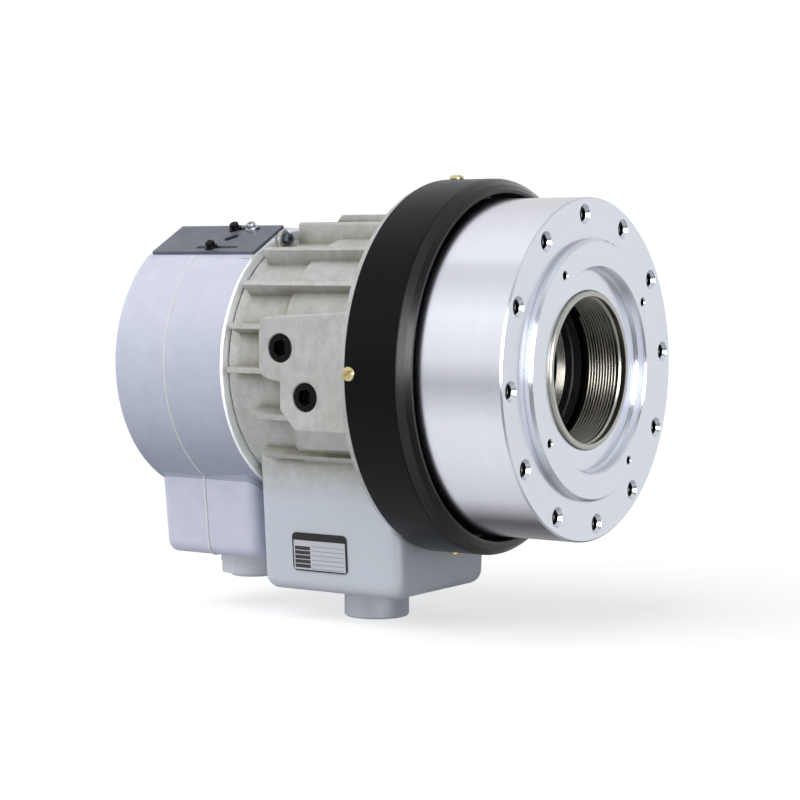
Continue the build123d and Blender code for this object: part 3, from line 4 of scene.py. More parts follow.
import bmesh
import bpy
from bpy.props import FloatProperty, FloatVectorProperty, PointerProperty
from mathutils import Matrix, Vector


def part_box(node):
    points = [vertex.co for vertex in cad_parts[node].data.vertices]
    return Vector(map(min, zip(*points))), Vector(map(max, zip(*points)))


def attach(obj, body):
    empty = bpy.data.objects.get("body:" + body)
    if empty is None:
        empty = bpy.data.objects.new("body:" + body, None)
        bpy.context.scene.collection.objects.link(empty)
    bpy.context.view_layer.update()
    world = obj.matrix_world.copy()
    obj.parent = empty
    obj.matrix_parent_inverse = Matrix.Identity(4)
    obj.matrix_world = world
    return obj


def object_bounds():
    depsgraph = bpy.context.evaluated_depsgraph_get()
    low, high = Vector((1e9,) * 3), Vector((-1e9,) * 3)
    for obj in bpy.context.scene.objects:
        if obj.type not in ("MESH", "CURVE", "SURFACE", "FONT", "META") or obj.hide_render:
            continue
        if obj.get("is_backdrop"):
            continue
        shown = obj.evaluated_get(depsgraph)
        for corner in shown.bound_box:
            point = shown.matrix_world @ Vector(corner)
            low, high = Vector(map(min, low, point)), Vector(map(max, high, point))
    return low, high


bl_info = {
    "name": "Rotary Chuck Cylinder",
    "version": (1, 0, 0),
    "blender": (4, 5, 0),
    "location": "View3D > Sidebar > Chuck Cylinder",
    "description": "Finishes, fine threads and studio for a rotary hydraulic chuck cylinder",
    "category": "Object",
}

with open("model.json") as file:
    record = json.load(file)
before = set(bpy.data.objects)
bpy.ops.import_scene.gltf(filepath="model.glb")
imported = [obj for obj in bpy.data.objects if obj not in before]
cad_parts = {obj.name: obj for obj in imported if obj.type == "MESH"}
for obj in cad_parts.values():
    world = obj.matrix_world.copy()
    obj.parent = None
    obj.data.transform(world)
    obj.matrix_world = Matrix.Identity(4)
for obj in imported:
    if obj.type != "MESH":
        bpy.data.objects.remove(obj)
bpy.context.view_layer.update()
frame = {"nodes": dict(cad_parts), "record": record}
parts = frame["nodes"]
mounts = {mount["name"]: mount for mount in frame["record"]["mounts"]}

BLACK = (0.0, 0.0, 0.0)
WHITE = (1.0, 1.0, 1.0)
BRIGHT_METAL = (0.97, 0.98, 1.0)

# Where a finish or a painted light changes on one piece, in metres. Stations are behind the face.
PARTING_STATION = 0.261
PARTING_CORE = 0.0006
PARTING_EDGE = 0.0009
JOINT_STATION = 0.218
RING_SHOULDER_STATION = 0.0648
COLLECTOR_BARREL_RADIUS = 0.092
SPOUT_BELOW = -0.1285
MILLED_AND_LIT_BELOW = -0.1465
BOX_LIGHT_BELOW = -0.086
BOX_LIGHT_ENDS_ABOVE = -0.066

# How strongly sand, haze and corner brown show on the housing, and painted light on the spout
SAND_STRENGTH = 0.75
HAZE_STRENGTH = 0.28
CORNER_BROWN_STRENGTH = 0.85
SPOUT_PAINTED_LIGHT = 0.8

# Painted shade on the round barrel of the collector, darker towards its underside: height and tint
COLLECTOR_PAINTED_SHADE = (
    (-0.064, (0.62, 0.66, 0.67)),
    (-0.032, (0.82, 0.85, 0.87)),
    (0.012, (0.93, 0.94, 0.95)),
    (0.036, WHITE),
)

# Areas of the printed name plate: left, right, bottom and top as shares of its sides
PLATE_FIELD = (0.025, 0.975, 0.035, 0.80)
PLATE_BOXES = (0.045, 0.33, 0.06, 0.645)
PLATE_LINES = (0.35, 0.955, 0.06, 0.70)

# Rows of the name plate: their start and height as shares of the plate, and the gap between
# two boxes and the width of a line as shares of a row
ROWS_START = 0.06
ROW_HEIGHT = 0.117
BOX_GAP = 0.17
LINE_WIDTH = 0.12

# Thread ridges: half widths of foot and crest as shares of the pitch, and how far the foot
# stands in the wall as a share of the ridge's depth
THREAD_FOOT = 0.46
THREAD_CREST = 0.12
THREAD_SUNK = 0.4

# Face holes: their mount, the place of the first one in degrees, and how deep its thread starts
FACE_HOLES = (("spindle_face", 95.06, 0.001), ("guard_cover_holes", 125.1, 0.0009))
FACE_HOLE_TURNS = 6
LONGEST_PORT_THREAD = 0.012

# Studio: where the soft lights stand and how many degrees wide they look, the floor's half side
# and its gap to the part, and the camera's aim, lens and sensor
KEY_PLACE = (-0.25, -0.55, 0.80)
SIDE_PLACE = (-0.55, -0.80, 0.10)
LIGHT_WIDTH = 60
FLOOR_HALF_SIDE = 20.0
FLOOR_GAP = 0.0005
CAMERA_AIM = Vector((-0.1399, 0.0, -0.0231))
CAMERA_LENS = 98.38
CAMERA_SENSOR = 36.0

# What metal mirrors when it looks to the rear and to the front of the part: levels by degrees
# above the left horizon, seen along the axis
ROOM_BEHIND = (
    (-180, 0.31),
    (-155, 0.25),
    (-122, 0.08),
    (-97, 0.62),
    (-60, 0.77),
    (-35, 0.80),
    (-9, 0.47),
    (8, 0.80),
    (38, 0.97),
    (60, 0.74),
    (75, 0.70),
    (78, 0.91),
    (95, 0.89),
    (140, 0.68),
    (180, 0.62),
)
ROOM_AHEAD = (
    (-180, 0.76),
    (-168, 0.72),
    (-150, 0.50),
    (-125, 0.42),
    (-102, 0.32),
    (-85, 0.54),
    (-62, 0.84),
    (-25, 0.92),
    (60, 0.90),
    (80, 0.78),
    (120, 0.62),
    (145, 0.58),
    (168, 0.74),
    (180, 0.76),
)
BEHIND_TINT = (1.0, 0.985, 1.0)
AHEAD_TINT = (0.975, 1.0, 1.01)
STRAIGHT_SHADE = (0.20, 0.20, 0.21)
EVEN_SHADE = (0.94, 0.98, 1.0)
MIRROR_LEVEL = 1.2

# The ray's X over which the mirrored room goes over to the front one, and to the one straight on
AHEAD_SPAN = (0.02, 0.20)
STRAIGHT_SPAN = (0.68, 0.82)

# The front soft box: its middle and half width in degrees, and its share by the ray's X
BOX_TURN = 20
BOX_HALF_WIDTH = 26
BOX_SHARES = (
    (0.49, 0.0),
    (0.53, 0.1),
    (0.60, 0.1),
    (0.64, 0.0),
    (0.70, 0.0),
    (0.74, 1.0),
    (0.95, 1.0),
    (0.97, 0.0),
)


def colour(name, description, default):
    """A colour property with its default."""
    return FloatVectorProperty(
        name=name, description=description, default=default, subtype="COLOR", size=3, min=0, max=1
    )


def length(name, description, default):
    """A length property in metres with its default."""
    return FloatProperty(name=name, description=description, default=default, min=0, unit="LENGTH")


def number(name, description, default):
    """A plain number property with its default."""
    return FloatProperty(name=name, description=description, default=default)


class CylinderColours(bpy.types.PropertyGroup):
    """Colours of the finishes and of painted light"""

    turned_steel: colour("Turned steel", "Satin turned body", (0.765, 0.785, 0.85))
    ground_steel: colour("Ground steel", "Piston and shaft", (0.50, 0.49, 0.45))
    cast_aluminium: colour("Cast aluminium", "Housing casting", (0.60, 0.61, 0.60))
    # Painted light: lighter, cooler tone on the lower drain box, standing in for the light it gets
    # from below
    box_painted_light: colour("Drain box", "Cooler skin of the drain box", (0.66, 0.70, 0.77))
    # Partly the bare turned boss, partly painted light for the low front light
    milled_lit_aluminium: colour("Milled aluminium", "Turned drain boss", (0.68, 0.71, 0.76))
    casting_haze: colour("Casting haze", "Oily haze on the housing's barrel", (0.42, 0.40, 0.32))
    # Brown laid where the housing closes in on itself, in its corners
    casting_corner_brown: colour("Casting stain", "Stain in the housing's corners", (0.20, 0.18, 0.11))
    collector_paint: colour("Collector paint", "Paint of the collector", (0.75, 0.775, 0.92))
    ring_black: colour("Ring black", "Satin black of the guard ring", (0.0015, 0.0015, 0.0022))
    brass: colour("Brass", "Guard ring screws", (0.70, 0.60, 0.32))
    plate_slate: colour("Plate slate", "Paint of the switch plate", (0.13, 0.14, 0.175))
    rubber: colour("Rubber", "Seals and gasket", (0.012, 0.012, 0.012))


class CylinderSizes(bpy.types.PropertyGroup):
    """Sizes of the fine detail"""

    draw_thread_pitch: length("Draw tube thread pitch", "Pitch of the thread in the nose", 0.002)
    port_thread_pitch: length("Port thread pitch", "Pitch of the port and drain threads", 0.0015)
    hole_thread_pitch: length("Hole thread pitch", "Pitch of the threads in the face holes", 0.0015)
    casting_rounding: length("Casting rounding", "Soft rounding of cast edges", 0.0009)
    turning_pitch: length("Turning pitch", "Spacing of the turning marks", 0.0007)


class StudioSettings(bpy.types.PropertyGroup):
    """Floor, lights and camera"""

    floor: colour("Floor", "Colour of the floor paper", (0.60, 0.60, 0.61))
    floor_glow: number("Floor glow", "White added to the floor that the camera sees", 0.62)
    front_box: number("Front soft box", "Brightness of the soft box that metal mirrors", 10.0)
    key_light: number("Key light", "Soft light from above", 1.32)
    side_light: number("Side light", "Soft light from the left", 0.90)
    room_light: number("Room light", "Strength of the even light", 0.35)
    azimuth: number("Camera azimuth", "Degrees round the part", 33.907)
    elevation: number("Camera elevation", "Degrees above the axis", 3.659)
    distance: length("Camera distance", "From the camera to its aim", 1.4095)


def colours():
    """Colours chosen in the sidebar."""
    return bpy.context.scene.cylinder_colours


def sizes():
    """Fine sizes chosen in the sidebar."""
    return bpy.context.scene.cylinder_sizes


def studio():
    """Studio settings chosen in the sidebar."""
    return bpy.context.scene.cylinder_studio


class Web:
    """A node tree with short ways to place and join nodes."""

    def __init__(self, tree):
        self.tree = tree

    def node(self, kind, inputs=None, **settings):
        """Place a node, set its fields and sockets, and join sockets that are given as sources."""
        made = self.tree.nodes.new(kind)
        for key, value in settings.items():
            setattr(made, key, value)
        for key, value in (inputs or {}).items():
            if isinstance(value, bpy.types.NodeSocket):
                self.tree.links.new(value, made.inputs[key])
            else:
                made.inputs[key].default_value = value
        return made

    def math(self, operation, first, second=0.5, third=0.5):
        """Result of a Math node."""
        return self.node(
            "ShaderNodeMath", {0: first, 1: second, 2: third}, operation=operation
        ).outputs[0]

    def ramp(self, factor, *stops):
        """Colour ramp from (position, colour) stops."""
        made = self.node("ShaderNodeValToRGB", {0: factor})
        elements = made.color_ramp.elements
        while len(elements) < len(stops):
            elements.new(1.0)
        for element, (place, shade) in zip(elements, stops):
            element.position = place
            element.color = (*shade, 1.0)
        return made.outputs["Color"]

    def gradient(self, value, *stops):
        """Colour ramp whose stops stand at real values, such as heights in metres."""
        low, high = stops[0][0], stops[-1][0]
        share = self.math("DIVIDE", self.math("SUBTRACT", value, low), high - low)
        places = (((place - low) / (high - low), shade) for place, shade in stops)
        return self.ramp(share, *places)

    def fade(self, factor, none, full):
        """Mask that is none at one value of a factor and full at another."""
        return self.ramp(factor, *sorted(((none, BLACK), (full, WHITE))))

    def swing(self, factor, middle, width):
        """Value that swings by a width round its middle as a factor goes from none to full."""
        return self.math("MULTIPLY_ADD", factor, width, middle - width / 2)

    def split(self, vector):
        """X, Y and Z of a vector."""
        return self.node("ShaderNodeSeparateXYZ", {0: vector}).outputs

    def mix(self, factor, first, second, blend="MIX"):
        """Mixed colour."""
        made = self.tree.nodes.new("ShaderNodeMix")
        made.data_type = "RGBA"
        made.blend_type = blend
        for index, value in ((0, factor), (6, first), (7, second)):
            if isinstance(value, bpy.types.NodeSocket):
                self.tree.links.new(value, made.inputs[index])
            elif index == 0:
                made.inputs[index].default_value = value
            else:
                made.inputs[index].default_value = (*value, 1.0)
        return made.outputs[2]

    def noise(self, vector, scale, detail=4.0, roughness=0.55):
        """Value of a noise texture at a position."""
        made = self.node(
            "ShaderNodeTexNoise",
            {"Vector": vector, "Scale": scale, "Detail": detail, "Roughness": roughness},
        )
        return made.outputs["Fac"]

    def bump(self, height, depth, strength, normal=None):
        """Normal that is disturbed by a height, on top of another normal where one is given."""
        inputs = {"Height": height, "Distance": depth, "Strength": strength}
        if normal is not None:
            inputs["Normal"] = normal
        return self.node("ShaderNodeBump", inputs).outputs[0]

    def rounded(self, radius):
        """Normal that rounds sharp edges by a radius."""
        return self.node("ShaderNodeBevel", {"Radius": radius}, samples=6).outputs[0]


def effect_group(name, inputs, outputs):
    """New shader node group with named values in and out; returns it, its web and its end nodes."""
    group = bpy.data.node_groups.new(name, "ShaderNodeTree")
    group.interface.new_socket("Vector", in_out="INPUT", socket_type="NodeSocketVector")
    for label, value in inputs.items():
        socket = group.interface.new_socket(label, in_out="INPUT", socket_type="NodeSocketFloat")
        socket.default_value = value
    for label in outputs:
        group.interface.new_socket(label, in_out="OUTPUT", socket_type="NodeSocketFloat")
    web = Web(group)
    return group, web, web.node("NodeGroupInput"), web.node("NodeGroupOutput")


def axis_radius(web, split):
    """Distance of a point from the cylinder's axis."""
    height_square = web.math("MULTIPLY", split["Z"], split["Z"])
    return web.math("SQRT", web.math("MULTIPLY_ADD", split["Y"], split["Y"], height_square))


def turning_marks():
    """Fine grooves that a lathe leaves: rings on faces and lines round barrels."""
    group = bpy.data.node_groups.get("turning_marks")
    if group:
        return group
    group, web, start, end = effect_group("turning_marks", {"Pitch": 0.0007}, ("Height", "Band"))
    split = web.split(start.outputs["Vector"])
    travel = web.math("ADD", axis_radius(web, split), split["X"])
    grooves = web.math("DIVIDE", travel, start.outputs["Pitch"])
    for label, often, detail in (("Height", 1.0, 2.0), ("Band", 0.06, 3.0)):
        place = web.math("MULTIPLY", grooves, often)
        marks = web.node(
            "ShaderNodeTexNoise",
            {"W": place, "Scale": 1.0, "Detail": detail},
            noise_dimensions="1D",
        )
        web.tree.links.new(marks.outputs["Fac"], end.inputs[label])
    return group


def cast_grain():
    """Skin of a sand or die casting: fine grain, soft dents and broad mottling."""
    group = bpy.data.node_groups.get("cast_grain")
    if group:
        return group
    group, web, start, end = effect_group(
        "cast_grain", {"Grain": 900.0}, ("Height", "Mottle", "Patch")
    )
    where = start.outputs["Vector"]
    fine = web.noise(where, start.outputs["Grain"], detail=3.0, roughness=0.6)
    soft = web.noise(where, web.math("MULTIPLY", start.outputs["Grain"], 0.12), detail=2.0)
    height = web.math("ADD", web.math("MULTIPLY", fine, 0.45), web.math("MULTIPLY", soft, 0.55))
    web.tree.links.new(height, end.inputs["Height"])
    mottle = web.noise(where, scale=85.0, detail=5.0, roughness=0.65)
    patch = web.noise(where, scale=22.0, roughness=0.6)
    web.tree.links.new(mottle, end.inputs["Mottle"])
    web.tree.links.new(patch, end.inputs["Patch"])
    return group


def start_material(name):
    """New node material; returns it with its web, shader and object coordinates."""
    made = bpy.data.materials.new(name)
    made.use_nodes = True
    web = Web(made.node_tree)
    shader = made.node_tree.nodes["Principled BSDF"]
    where = web.node("ShaderNodeTexCoord").outputs["Object"]
    return made, web, shader, where


def join(web, shader, **sources):
    """Join sources to a shader by socket name."""
    for label, source in sources.items():
        web.tree.links.new(source, shader.inputs[label.replace("_", " ")])


def place_group(web, group, where, **values):
    """Place an effect group in a material with its own values."""
    made = web.node("ShaderNodeGroup", node_tree=group)
    web.tree.links.new(where, made.inputs["Vector"])
    for label, value in values.items():
        made.inputs[label].default_value = value
    return made.outputs


def open_sky(web, reach):
    """How open each point is to its surroundings, as the piece itself leaves it."""
    sky = web.node("ShaderNodeAmbientOcclusion", {"Distance": reach}, samples=8, only_local=True)
    return sky.outputs["AO"]


def paint_shade_in_hollows(web, tone, reach, limit, shade, softness=0.24):
    """Paint shade into a colour where the piece closes in on itself, as in its holes and bores."""
    shut = web.fade(open_sky(web, reach), limit, limit - softness)
    return web.mix(shut, tone, shade)


def vary(web, factor, shade, low, high, span=(0.3, 0.7)):
    """Colour that goes from a low to a high share of itself over a span of a factor."""
    return web.ramp(
        factor,
        (span[0], [low * part for part in shade]),
        (span[1], [min(1.0, high * part) for part in shade]),
    )


def turned_steel(name, shade, roughness, pitch, depth, streak=1.0, stretch=0.0, painted_hollow_shade=None):
    """Satin steel with turning marks; stretch draws its highlights out across the marks."""
    made, web, shader, where = start_material(name)
    marks = place_group(web, turning_marks(), where, Pitch=pitch)
    low, high = 1 - 0.07 * streak, 1 + 0.03 * streak
    tone = vary(web, marks["Band"], shade, low, high, span=(0.35, 0.65))
    # Painted shade laid into the piece's hollows, where it is given
    if painted_hollow_shade:
        tone = paint_shade_in_hollows(web, tone, **painted_hollow_shade)
    rough = web.swing(marks["Band"], roughness, width=0.16 * streak)
    bump = web.bump(marks["Height"], depth, strength=0.6)
    join(web, shader, Base_Color=tone, Roughness=rough, Normal=bump)
    shader.inputs["Metallic"].default_value = 1.0
    if stretch:
        round_axis = web.node("ShaderNodeTangent", direction_type="RADIAL", axis="X")
        web.tree.links.new(round_axis.outputs[0], shader.inputs["Tangent"])
        shader.inputs["Anisotropic"].default_value = stretch
        shader.inputs["Anisotropic Rotation"].default_value = 0.25
    return made


def plain_steel(name, shade, roughness, metallic=1.0, gloss=0.5, rounding=0.0003):
    """Steel of small pieces with a faint cloudy finish and worn round edges."""
    made, web, shader, where = start_material(name)
    cloud = web.noise(where, scale=160.0)
    tone = vary(web, cloud, shade, low=0.8, high=1.1)
    rough = web.swing(cloud, roughness, width=0.2)
    grain = web.noise(where, scale=2400.0, detail=2.0)
    bump = web.bump(grain, depth=0.00002, strength=0.4, normal=web.rounded(rounding))
    join(web, shader, Base_Color=tone, Roughness=rough, Normal=bump)
    shader.inputs["Metallic"].default_value = metallic
    shader.inputs["Specular IOR Level"].default_value = gloss
    return made


def housing_casting():
    """Bare cast aluminium, grained, mottled, browned in corners; painted light on its drain box,
    partly on its boss.
    """
    made, web, shader, where = start_material("housing_casting")
    chosen = colours()
    grain = place_group(web, cast_grain(), where, Grain=1500.0)
    base = tuple(chosen.cast_aluminium)
    tone = web.ramp(
        grain["Mottle"],
        (0.30, [0.86 * part for part in base]),
        (0.52, base),
        (0.72, [min(1.0, 1.10 * part) for part in base]),
    )
    sand = web.ramp(grain["Height"], (0.36, (0.80, 0.80, 0.79)), (0.56, WHITE))
    tone = web.mix(SAND_STRENGTH, tone, sand, "MULTIPLY")
    height = web.split(where)["Z"]
    # Painted light: below the barrel the drain box turns to the lighter, cooler tone
    barrel = web.gradient(height, (BOX_LIGHT_BELOW, BLACK), (BOX_LIGHT_ENDS_ABOVE, WHITE))
    tone = web.mix(barrel, tuple(chosen.box_painted_light), tone)
    haze = web.fade(grain["Patch"], none=0.44, full=0.66)
    haze = web.math("MULTIPLY", haze, web.math("MULTIPLY", barrel, HAZE_STRENGTH))
    tone = web.mix(haze, tone, tuple(chosen.casting_haze))
    # Brown laid in the corners, where the casting closes in on itself, broken up by patches
    shut = web.math("SUBTRACT", 1.0, open_sky(web, reach=0.02))
    broken = web.math("MULTIPLY", shut, web.swing(grain["Patch"], middle=1.05, width=1.8))
    corner_brown = web.math("MULTIPLY", web.fade(broken, none=0.16, full=0.55), CORNER_BROWN_STRENGTH)
    tone = web.mix(corner_brown, tone, tuple(chosen.casting_corner_brown))
    # The drain boss turns lighter, partly its bare turned finish and partly painted light
    milled_and_lit = web.math("LESS_THAN", height, MILLED_AND_LIT_BELOW)
    tone = web.mix(milled_and_lit, tone, tuple(chosen.milled_lit_aluminium))
    edges = web.rounded(sizes().casting_rounding)
    bump = web.bump(grain["Height"], depth=0.00035, strength=0.6, normal=edges)
    rough = web.swing(grain["Mottle"], middle=0.53, width=0.22)
    join(web, shader, Base_Color=tone, Roughness=rough, Normal=bump)
    shader.inputs["Metallic"].default_value = 0.12
    return made


def collector_paint():
    """Semi-matt paint over a smooth casting, worn on its bead and bare at its joint; painted shade
    below and in its hollows, painted light on its spout.
    """
    made, web, shader, where = start_material("collector_paint")
    base = tuple(colours().collector_paint)
    grain = place_group(web, cast_grain(), where, Grain=700.0)
    tone = vary(web, grain["Mottle"], base, low=0.95, high=1.04)
    split = web.split(where)
    away = web.math("ABSOLUTE", web.math("ADD", split["X"], PARTING_STATION))
    bead = web.gradient(away, (PARTING_CORE, WHITE), (PARTING_EDGE, BLACK))
    worn = web.math("MULTIPLY", bead, web.swing(grain["Mottle"], middle=0.85, width=0.6))
    barrel = web.math("LESS_THAN", axis_radius(web, split), COLLECTOR_BARREL_RADIUS)
    # Painted shade: the round barrel darkens towards its underside
    underside_shade = web.gradient(split["Z"], *COLLECTOR_PAINTED_SHADE)
    tone = web.mix(barrel, tone, web.mix(1.0, tone, underside_shade, "MULTIPLY"))
    # Painted shade in the collector's hollows
    tone = paint_shade_in_hollows(web, tone, reach=0.05, limit=0.70, shade=(0.24, 0.25, 0.29))
    tone = web.mix(worn, tone, BRIGHT_METAL)
    # Painted light: the spout is lightened towards bare metal
    spout = web.math("LESS_THAN", split["Z"], SPOUT_BELOW)
    spout = web.math("MULTIPLY", spout, SPOUT_PAINTED_LIGHT)
    tone = web.mix(spout, tone, BRIGHT_METAL)
    joint = web.math("GREATER_THAN", split["X"], -JOINT_STATION)
    tone = web.mix(joint, tone, BRIGHT_METAL)
    edges = web.rounded(sizes().casting_rounding)
    bump = web.bump(grain["Height"], depth=0.00012, strength=0.4, normal=edges)
    rough = web.swing(grain["Patch"], middle=0.50, width=0.16)
    join(web, shader, Base_Color=tone, Metallic=joint, Roughness=rough, Normal=bump)
    shader.inputs["Specular IOR Level"].default_value = 0.3
    return made


def satin_paint(name, shade, roughness, gloss):
    """Smooth paint with a faint orange peel."""
    made, web, shader, where = start_material(name)
    grain = place_group(web, cast_grain(), where, Grain=1100.0)
    tone = vary(web, grain["Mottle"], shade, low=0.85, high=1.2)
    rough = web.swing(grain["Patch"], roughness, width=0.12)
    bump = web.bump(grain["Height"], depth=0.00006, strength=0.35)
    join(web, shader, Base_Color=tone, Roughness=rough, Normal=bump)
    shader.inputs["Specular IOR Level"].default_value = gloss
    return made


def ring_black():
    """Satin black of the guard ring, with its front cone polished by wear."""
    made = satin_paint("ring_black", tuple(colours().ring_black), roughness=0.34, gloss=0.11)
    web = Web(made.node_tree)
    shader = made.node_tree.nodes["Principled BSDF"]
    where = web.node("ShaderNodeTexCoord").outputs["Object"]
    cone = web.math("GREATER_THAN", web.split(where)["X"], -RING_SHOULDER_STATION)
    scuffs = web.noise(where, scale=420.0, detail=5.0, roughness=0.7)
    scuffs = web.swing(scuffs, middle=0.90, width=0.9)
    join(web, shader, Coat_Weight=web.math("MULTIPLY", cone, scuffs))
    shader.inputs["Coat IOR"].default_value = 1.36
    shader.inputs["Coat Roughness"].default_value = 0.24
    shader.inputs["Sheen Weight"].default_value = 0.10
    shader.inputs["Sheen Roughness"].default_value = 0.4
    shader.inputs["Sheen Tint"].default_value = (0.80, 0.90, 1.0, 1.0)
    return made


def rubber(name, shade):
    """Matt rubber with a fine grain."""
    made, web, shader, where = start_material(name)
    cloud = web.noise(where, scale=300.0)
    tone = vary(web, cloud, shade, low=0.7, high=1.6)
    rough = web.swing(cloud, middle=0.55, width=0.2)
    grain = web.noise(where, scale=1800.0, detail=2.0)
    bump = web.bump(grain, depth=0.00005, strength=0.5)
    join(web, shader, Base_Color=tone, Roughness=rough, Normal=bump)
    return made


def wear(finish, *names):
    """Give CAD pieces a finish by assigning it to their material slots."""
    for name in names:
        piece = parts[name]
        if not piece.material_slots:
            piece.data.materials.append(finish)
        for slot in piece.material_slots:
            slot.material = finish


def new_piece(name, mesh_builder, finish, body):
    """Link a new piece made from a bmesh and let it ride on its body."""
    mesh = bpy.data.meshes.new(name)
    mesh_builder.normal_update()
    mesh_builder.to_mesh(mesh)
    mesh_builder.free()
    mesh.materials.append(finish)
    piece = bpy.data.objects.new(name, mesh)
    bpy.context.scene.collection.objects.link(piece)
    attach(piece, body)


def add_thread(shape, mouth, axis, radius, depth, pitch, run, steps):
    """Add a helical ridge inside a round hole, from its mouth inwards, its foot in the wall."""
    axis = Vector(axis).normalized()
    side = axis.orthogonal().normalized()
    turns = int(run / pitch)
    foot = axis * THREAD_FOOT * pitch
    crest = axis * THREAD_CREST * pitch
    sunk = depth * THREAD_SUNK
    corners = [
        mouth + side * (radius + sunk) + foot,
        mouth + side * (radius - depth) + crest,
        mouth + side * (radius - depth) - crest,
        mouth + side * (radius + sunk) - foot,
    ]
    ring = [shape.verts.new(corner - axis * pitch / 2) for corner in corners]
    edges = [shape.edges.new((low, high)) for low, high in zip(ring, ring[1:])]
    bmesh.ops.spin(
        shape,
        geom=ring + edges,
        cent=mouth,
        axis=axis,
        dvec=-axis * pitch / steps,
        angle=tau * turns,
        steps=steps * turns,
        use_merge=False,
        use_duplicate=False,
    )


class CYLINDER_OT_turned_body(bpy.types.Operator):
    """Satin turned finish of the body and the front bearing cover"""

    bl_idname = "cylinder.turned_body"
    bl_label = "Turned body"

    def execute(self, context):
        """Finish the turned pieces."""
        finish = turned_steel(
            "turned_body",
            tuple(colours().turned_steel),
            roughness=0.19,
            pitch=sizes().turning_pitch,
            depth=0.000001,
            streak=0.2,
            stretch=0.6,
            # Painted shade, near black, in the face holes and other hollows of the body
            painted_hollow_shade={"reach": 0.012, "limit": 0.55, "shade": (0.03, 0.03, 0.035)},
        )
        wear(finish, "cylinder_body", "front_bearing_cover")
        return {"FINISHED"}


class CYLINDER_OT_ground_pieces(bpy.types.Operator):
    """Ground finish of the piston, the shaft and what turns with them"""

    bl_idname = "cylinder.ground_pieces"
    bl_label = "Piston and shaft"

    def execute(self, context):
        """Finish the ground pieces."""
        finish = turned_steel(
            "ground_steel",
            tuple(colours().ground_steel),
            roughness=0.28,
            pitch=0.0004,
            depth=0.000004,
            streak=0.6,
            # Painted shade in the piston's bore and other hollows
            painted_hollow_shade={"reach": 0.09, "limit": 0.62, "shade": (0.05, 0.046, 0.04)},
        )
        wear(finish, "piston", "distributor_shaft", "coolant_slinger", "stroke_ring")
        return {"FINISHED"}


class CYLINDER_OT_bearings(bpy.types.Operator):
    """Bearing rings, balls and cages"""

    bl_idname = "cylinder.bearings"
    bl_label = "Bearings"

    def execute(self, context):
        """Finish the bearings."""
        bright = turned_steel(
            "bearing_steel", (0.70, 0.70, 0.72), roughness=0.2, pitch=0.0003, depth=0.000004
        )
        cage = turned_steel(
            "cage_brass", tuple(colours().brass), roughness=0.35, pitch=0.0005, depth=0.000008
        )
        for end in ("front", "rear"):
            wear(
                bright,
                f"{end}_bearing_inner_ring",
                f"{end}_bearing_outer_ring",
                f"{end}_bearing_balls",
            )
            wear(cage, f"{end}_bearing_cage")
        wear(bright, "piston_guide_pins")
        return {"FINISHED"}


class CYLINDER_OT_housing(bpy.types.Operator):
    """Bare casting of the housing"""

    bl_idname = "cylinder.housing"
    bl_label = "Housing"

    def execute(self, context):
        """Finish the housing."""
        wear(housing_casting(), "housing")
        return {"FINISHED"}


class CYLINDER_OT_guard_ring(bpy.types.Operator):
    """Satin black guard ring and its brass screws"""

    bl_idname = "cylinder.guard_ring"
    bl_label = "Guard ring"

    def execute(self, context):
        """Finish the guard ring and its screws."""
        wear(ring_black(), "guard_ring")
        brass = tuple(colours().brass)
        screws = plain_steel("screw_brass", brass, roughness=0.24, rounding=0.0012)
        wear(screws, "guard_ring_screws")
        return {"FINISHED"}


class CYLINDER_OT_collector(bpy.types.Operator):
    """Painted collector with its rear cover"""

    bl_idname = "cylinder.collector"
    bl_label = "Collector"

    def execute(self, context):
        """Finish the collector and its cover."""
        wear(collector_paint(), "collector", "collector_rear_cover")
        return {"FINISHED"}


class CYLINDER_OT_switch_plate(bpy.types.Operator):
    """Slate painted switch plate"""

    bl_idname = "cylinder.switch_plate"
    bl_label = "Switch plate"

    def execute(self, context):
        """Finish the switch plate."""
        slate = tuple(colours().plate_slate)
        wear(satin_paint("plate_slate", slate, roughness=0.42, gloss=0.5), "switch_plate")
        return {"FINISHED"}


class CYLINDER_OT_fasteners(bpy.types.Operator):
    """Black and zinc plated screws, plugs, nuts and snap rings"""

    bl_idname = "cylinder.fasteners"
    bl_label = "Fasteners"

    def execute(self, context):
        """Finish the fasteners."""
        black = plain_steel(
            "black_steel",
            (0.003, 0.003, 0.004),
            roughness=0.22,
            metallic=0.0,
            gloss=0.16,
            rounding=0.0008,
        )
        # The dark bluish tone of the collector screws is painted shade
        shaded_screws = plain_steel("shaded_screw_steel", (0.13, 0.16, 0.21), roughness=0.30)
        zinc = plain_steel("zinc_steel", (0.52, 0.54, 0.56), roughness=0.32)
        wear(
            black,
            "body_bolts",
            "port_plugs",
            "switch_plate_screws",
            "front_bearing_cover_screws",
            "front_bearing_retaining_ring",
            "rear_bearing_retaining_ring",
            "rear_lock_nut",
            "stroke_ring_set_screws",
        )
        wear(
            zinc,
            "check_valve_cartridges",
            "collector_rear_cover_screws",
            "bright_plate_screw",
        )
        wear(shaded_screws, "collector_screws")
        return {"FINISHED"}


class CYLINDER_OT_seals(bpy.types.Operator):
    """Rubber seals, gasket and plastic wear ring"""

    bl_idname = "cylinder.seals"
    bl_label = "Seals"

    def execute(self, context):
        """Finish the seals."""
        black = rubber("seal_rubber", tuple(colours().rubber))
        brown = rubber("wear_ring_plastic", (0.22, 0.12, 0.05))
        wear(
            black,
            "flange_o_ring",
            "nose_wiper",
            "nose_seal",
            "tube_seal",
            "piston_seal",
            "draw_tube_seal",
            "collector_gasket",
        )
        wear(brown, "piston_wear_ring")
        return {"FINISHED"}


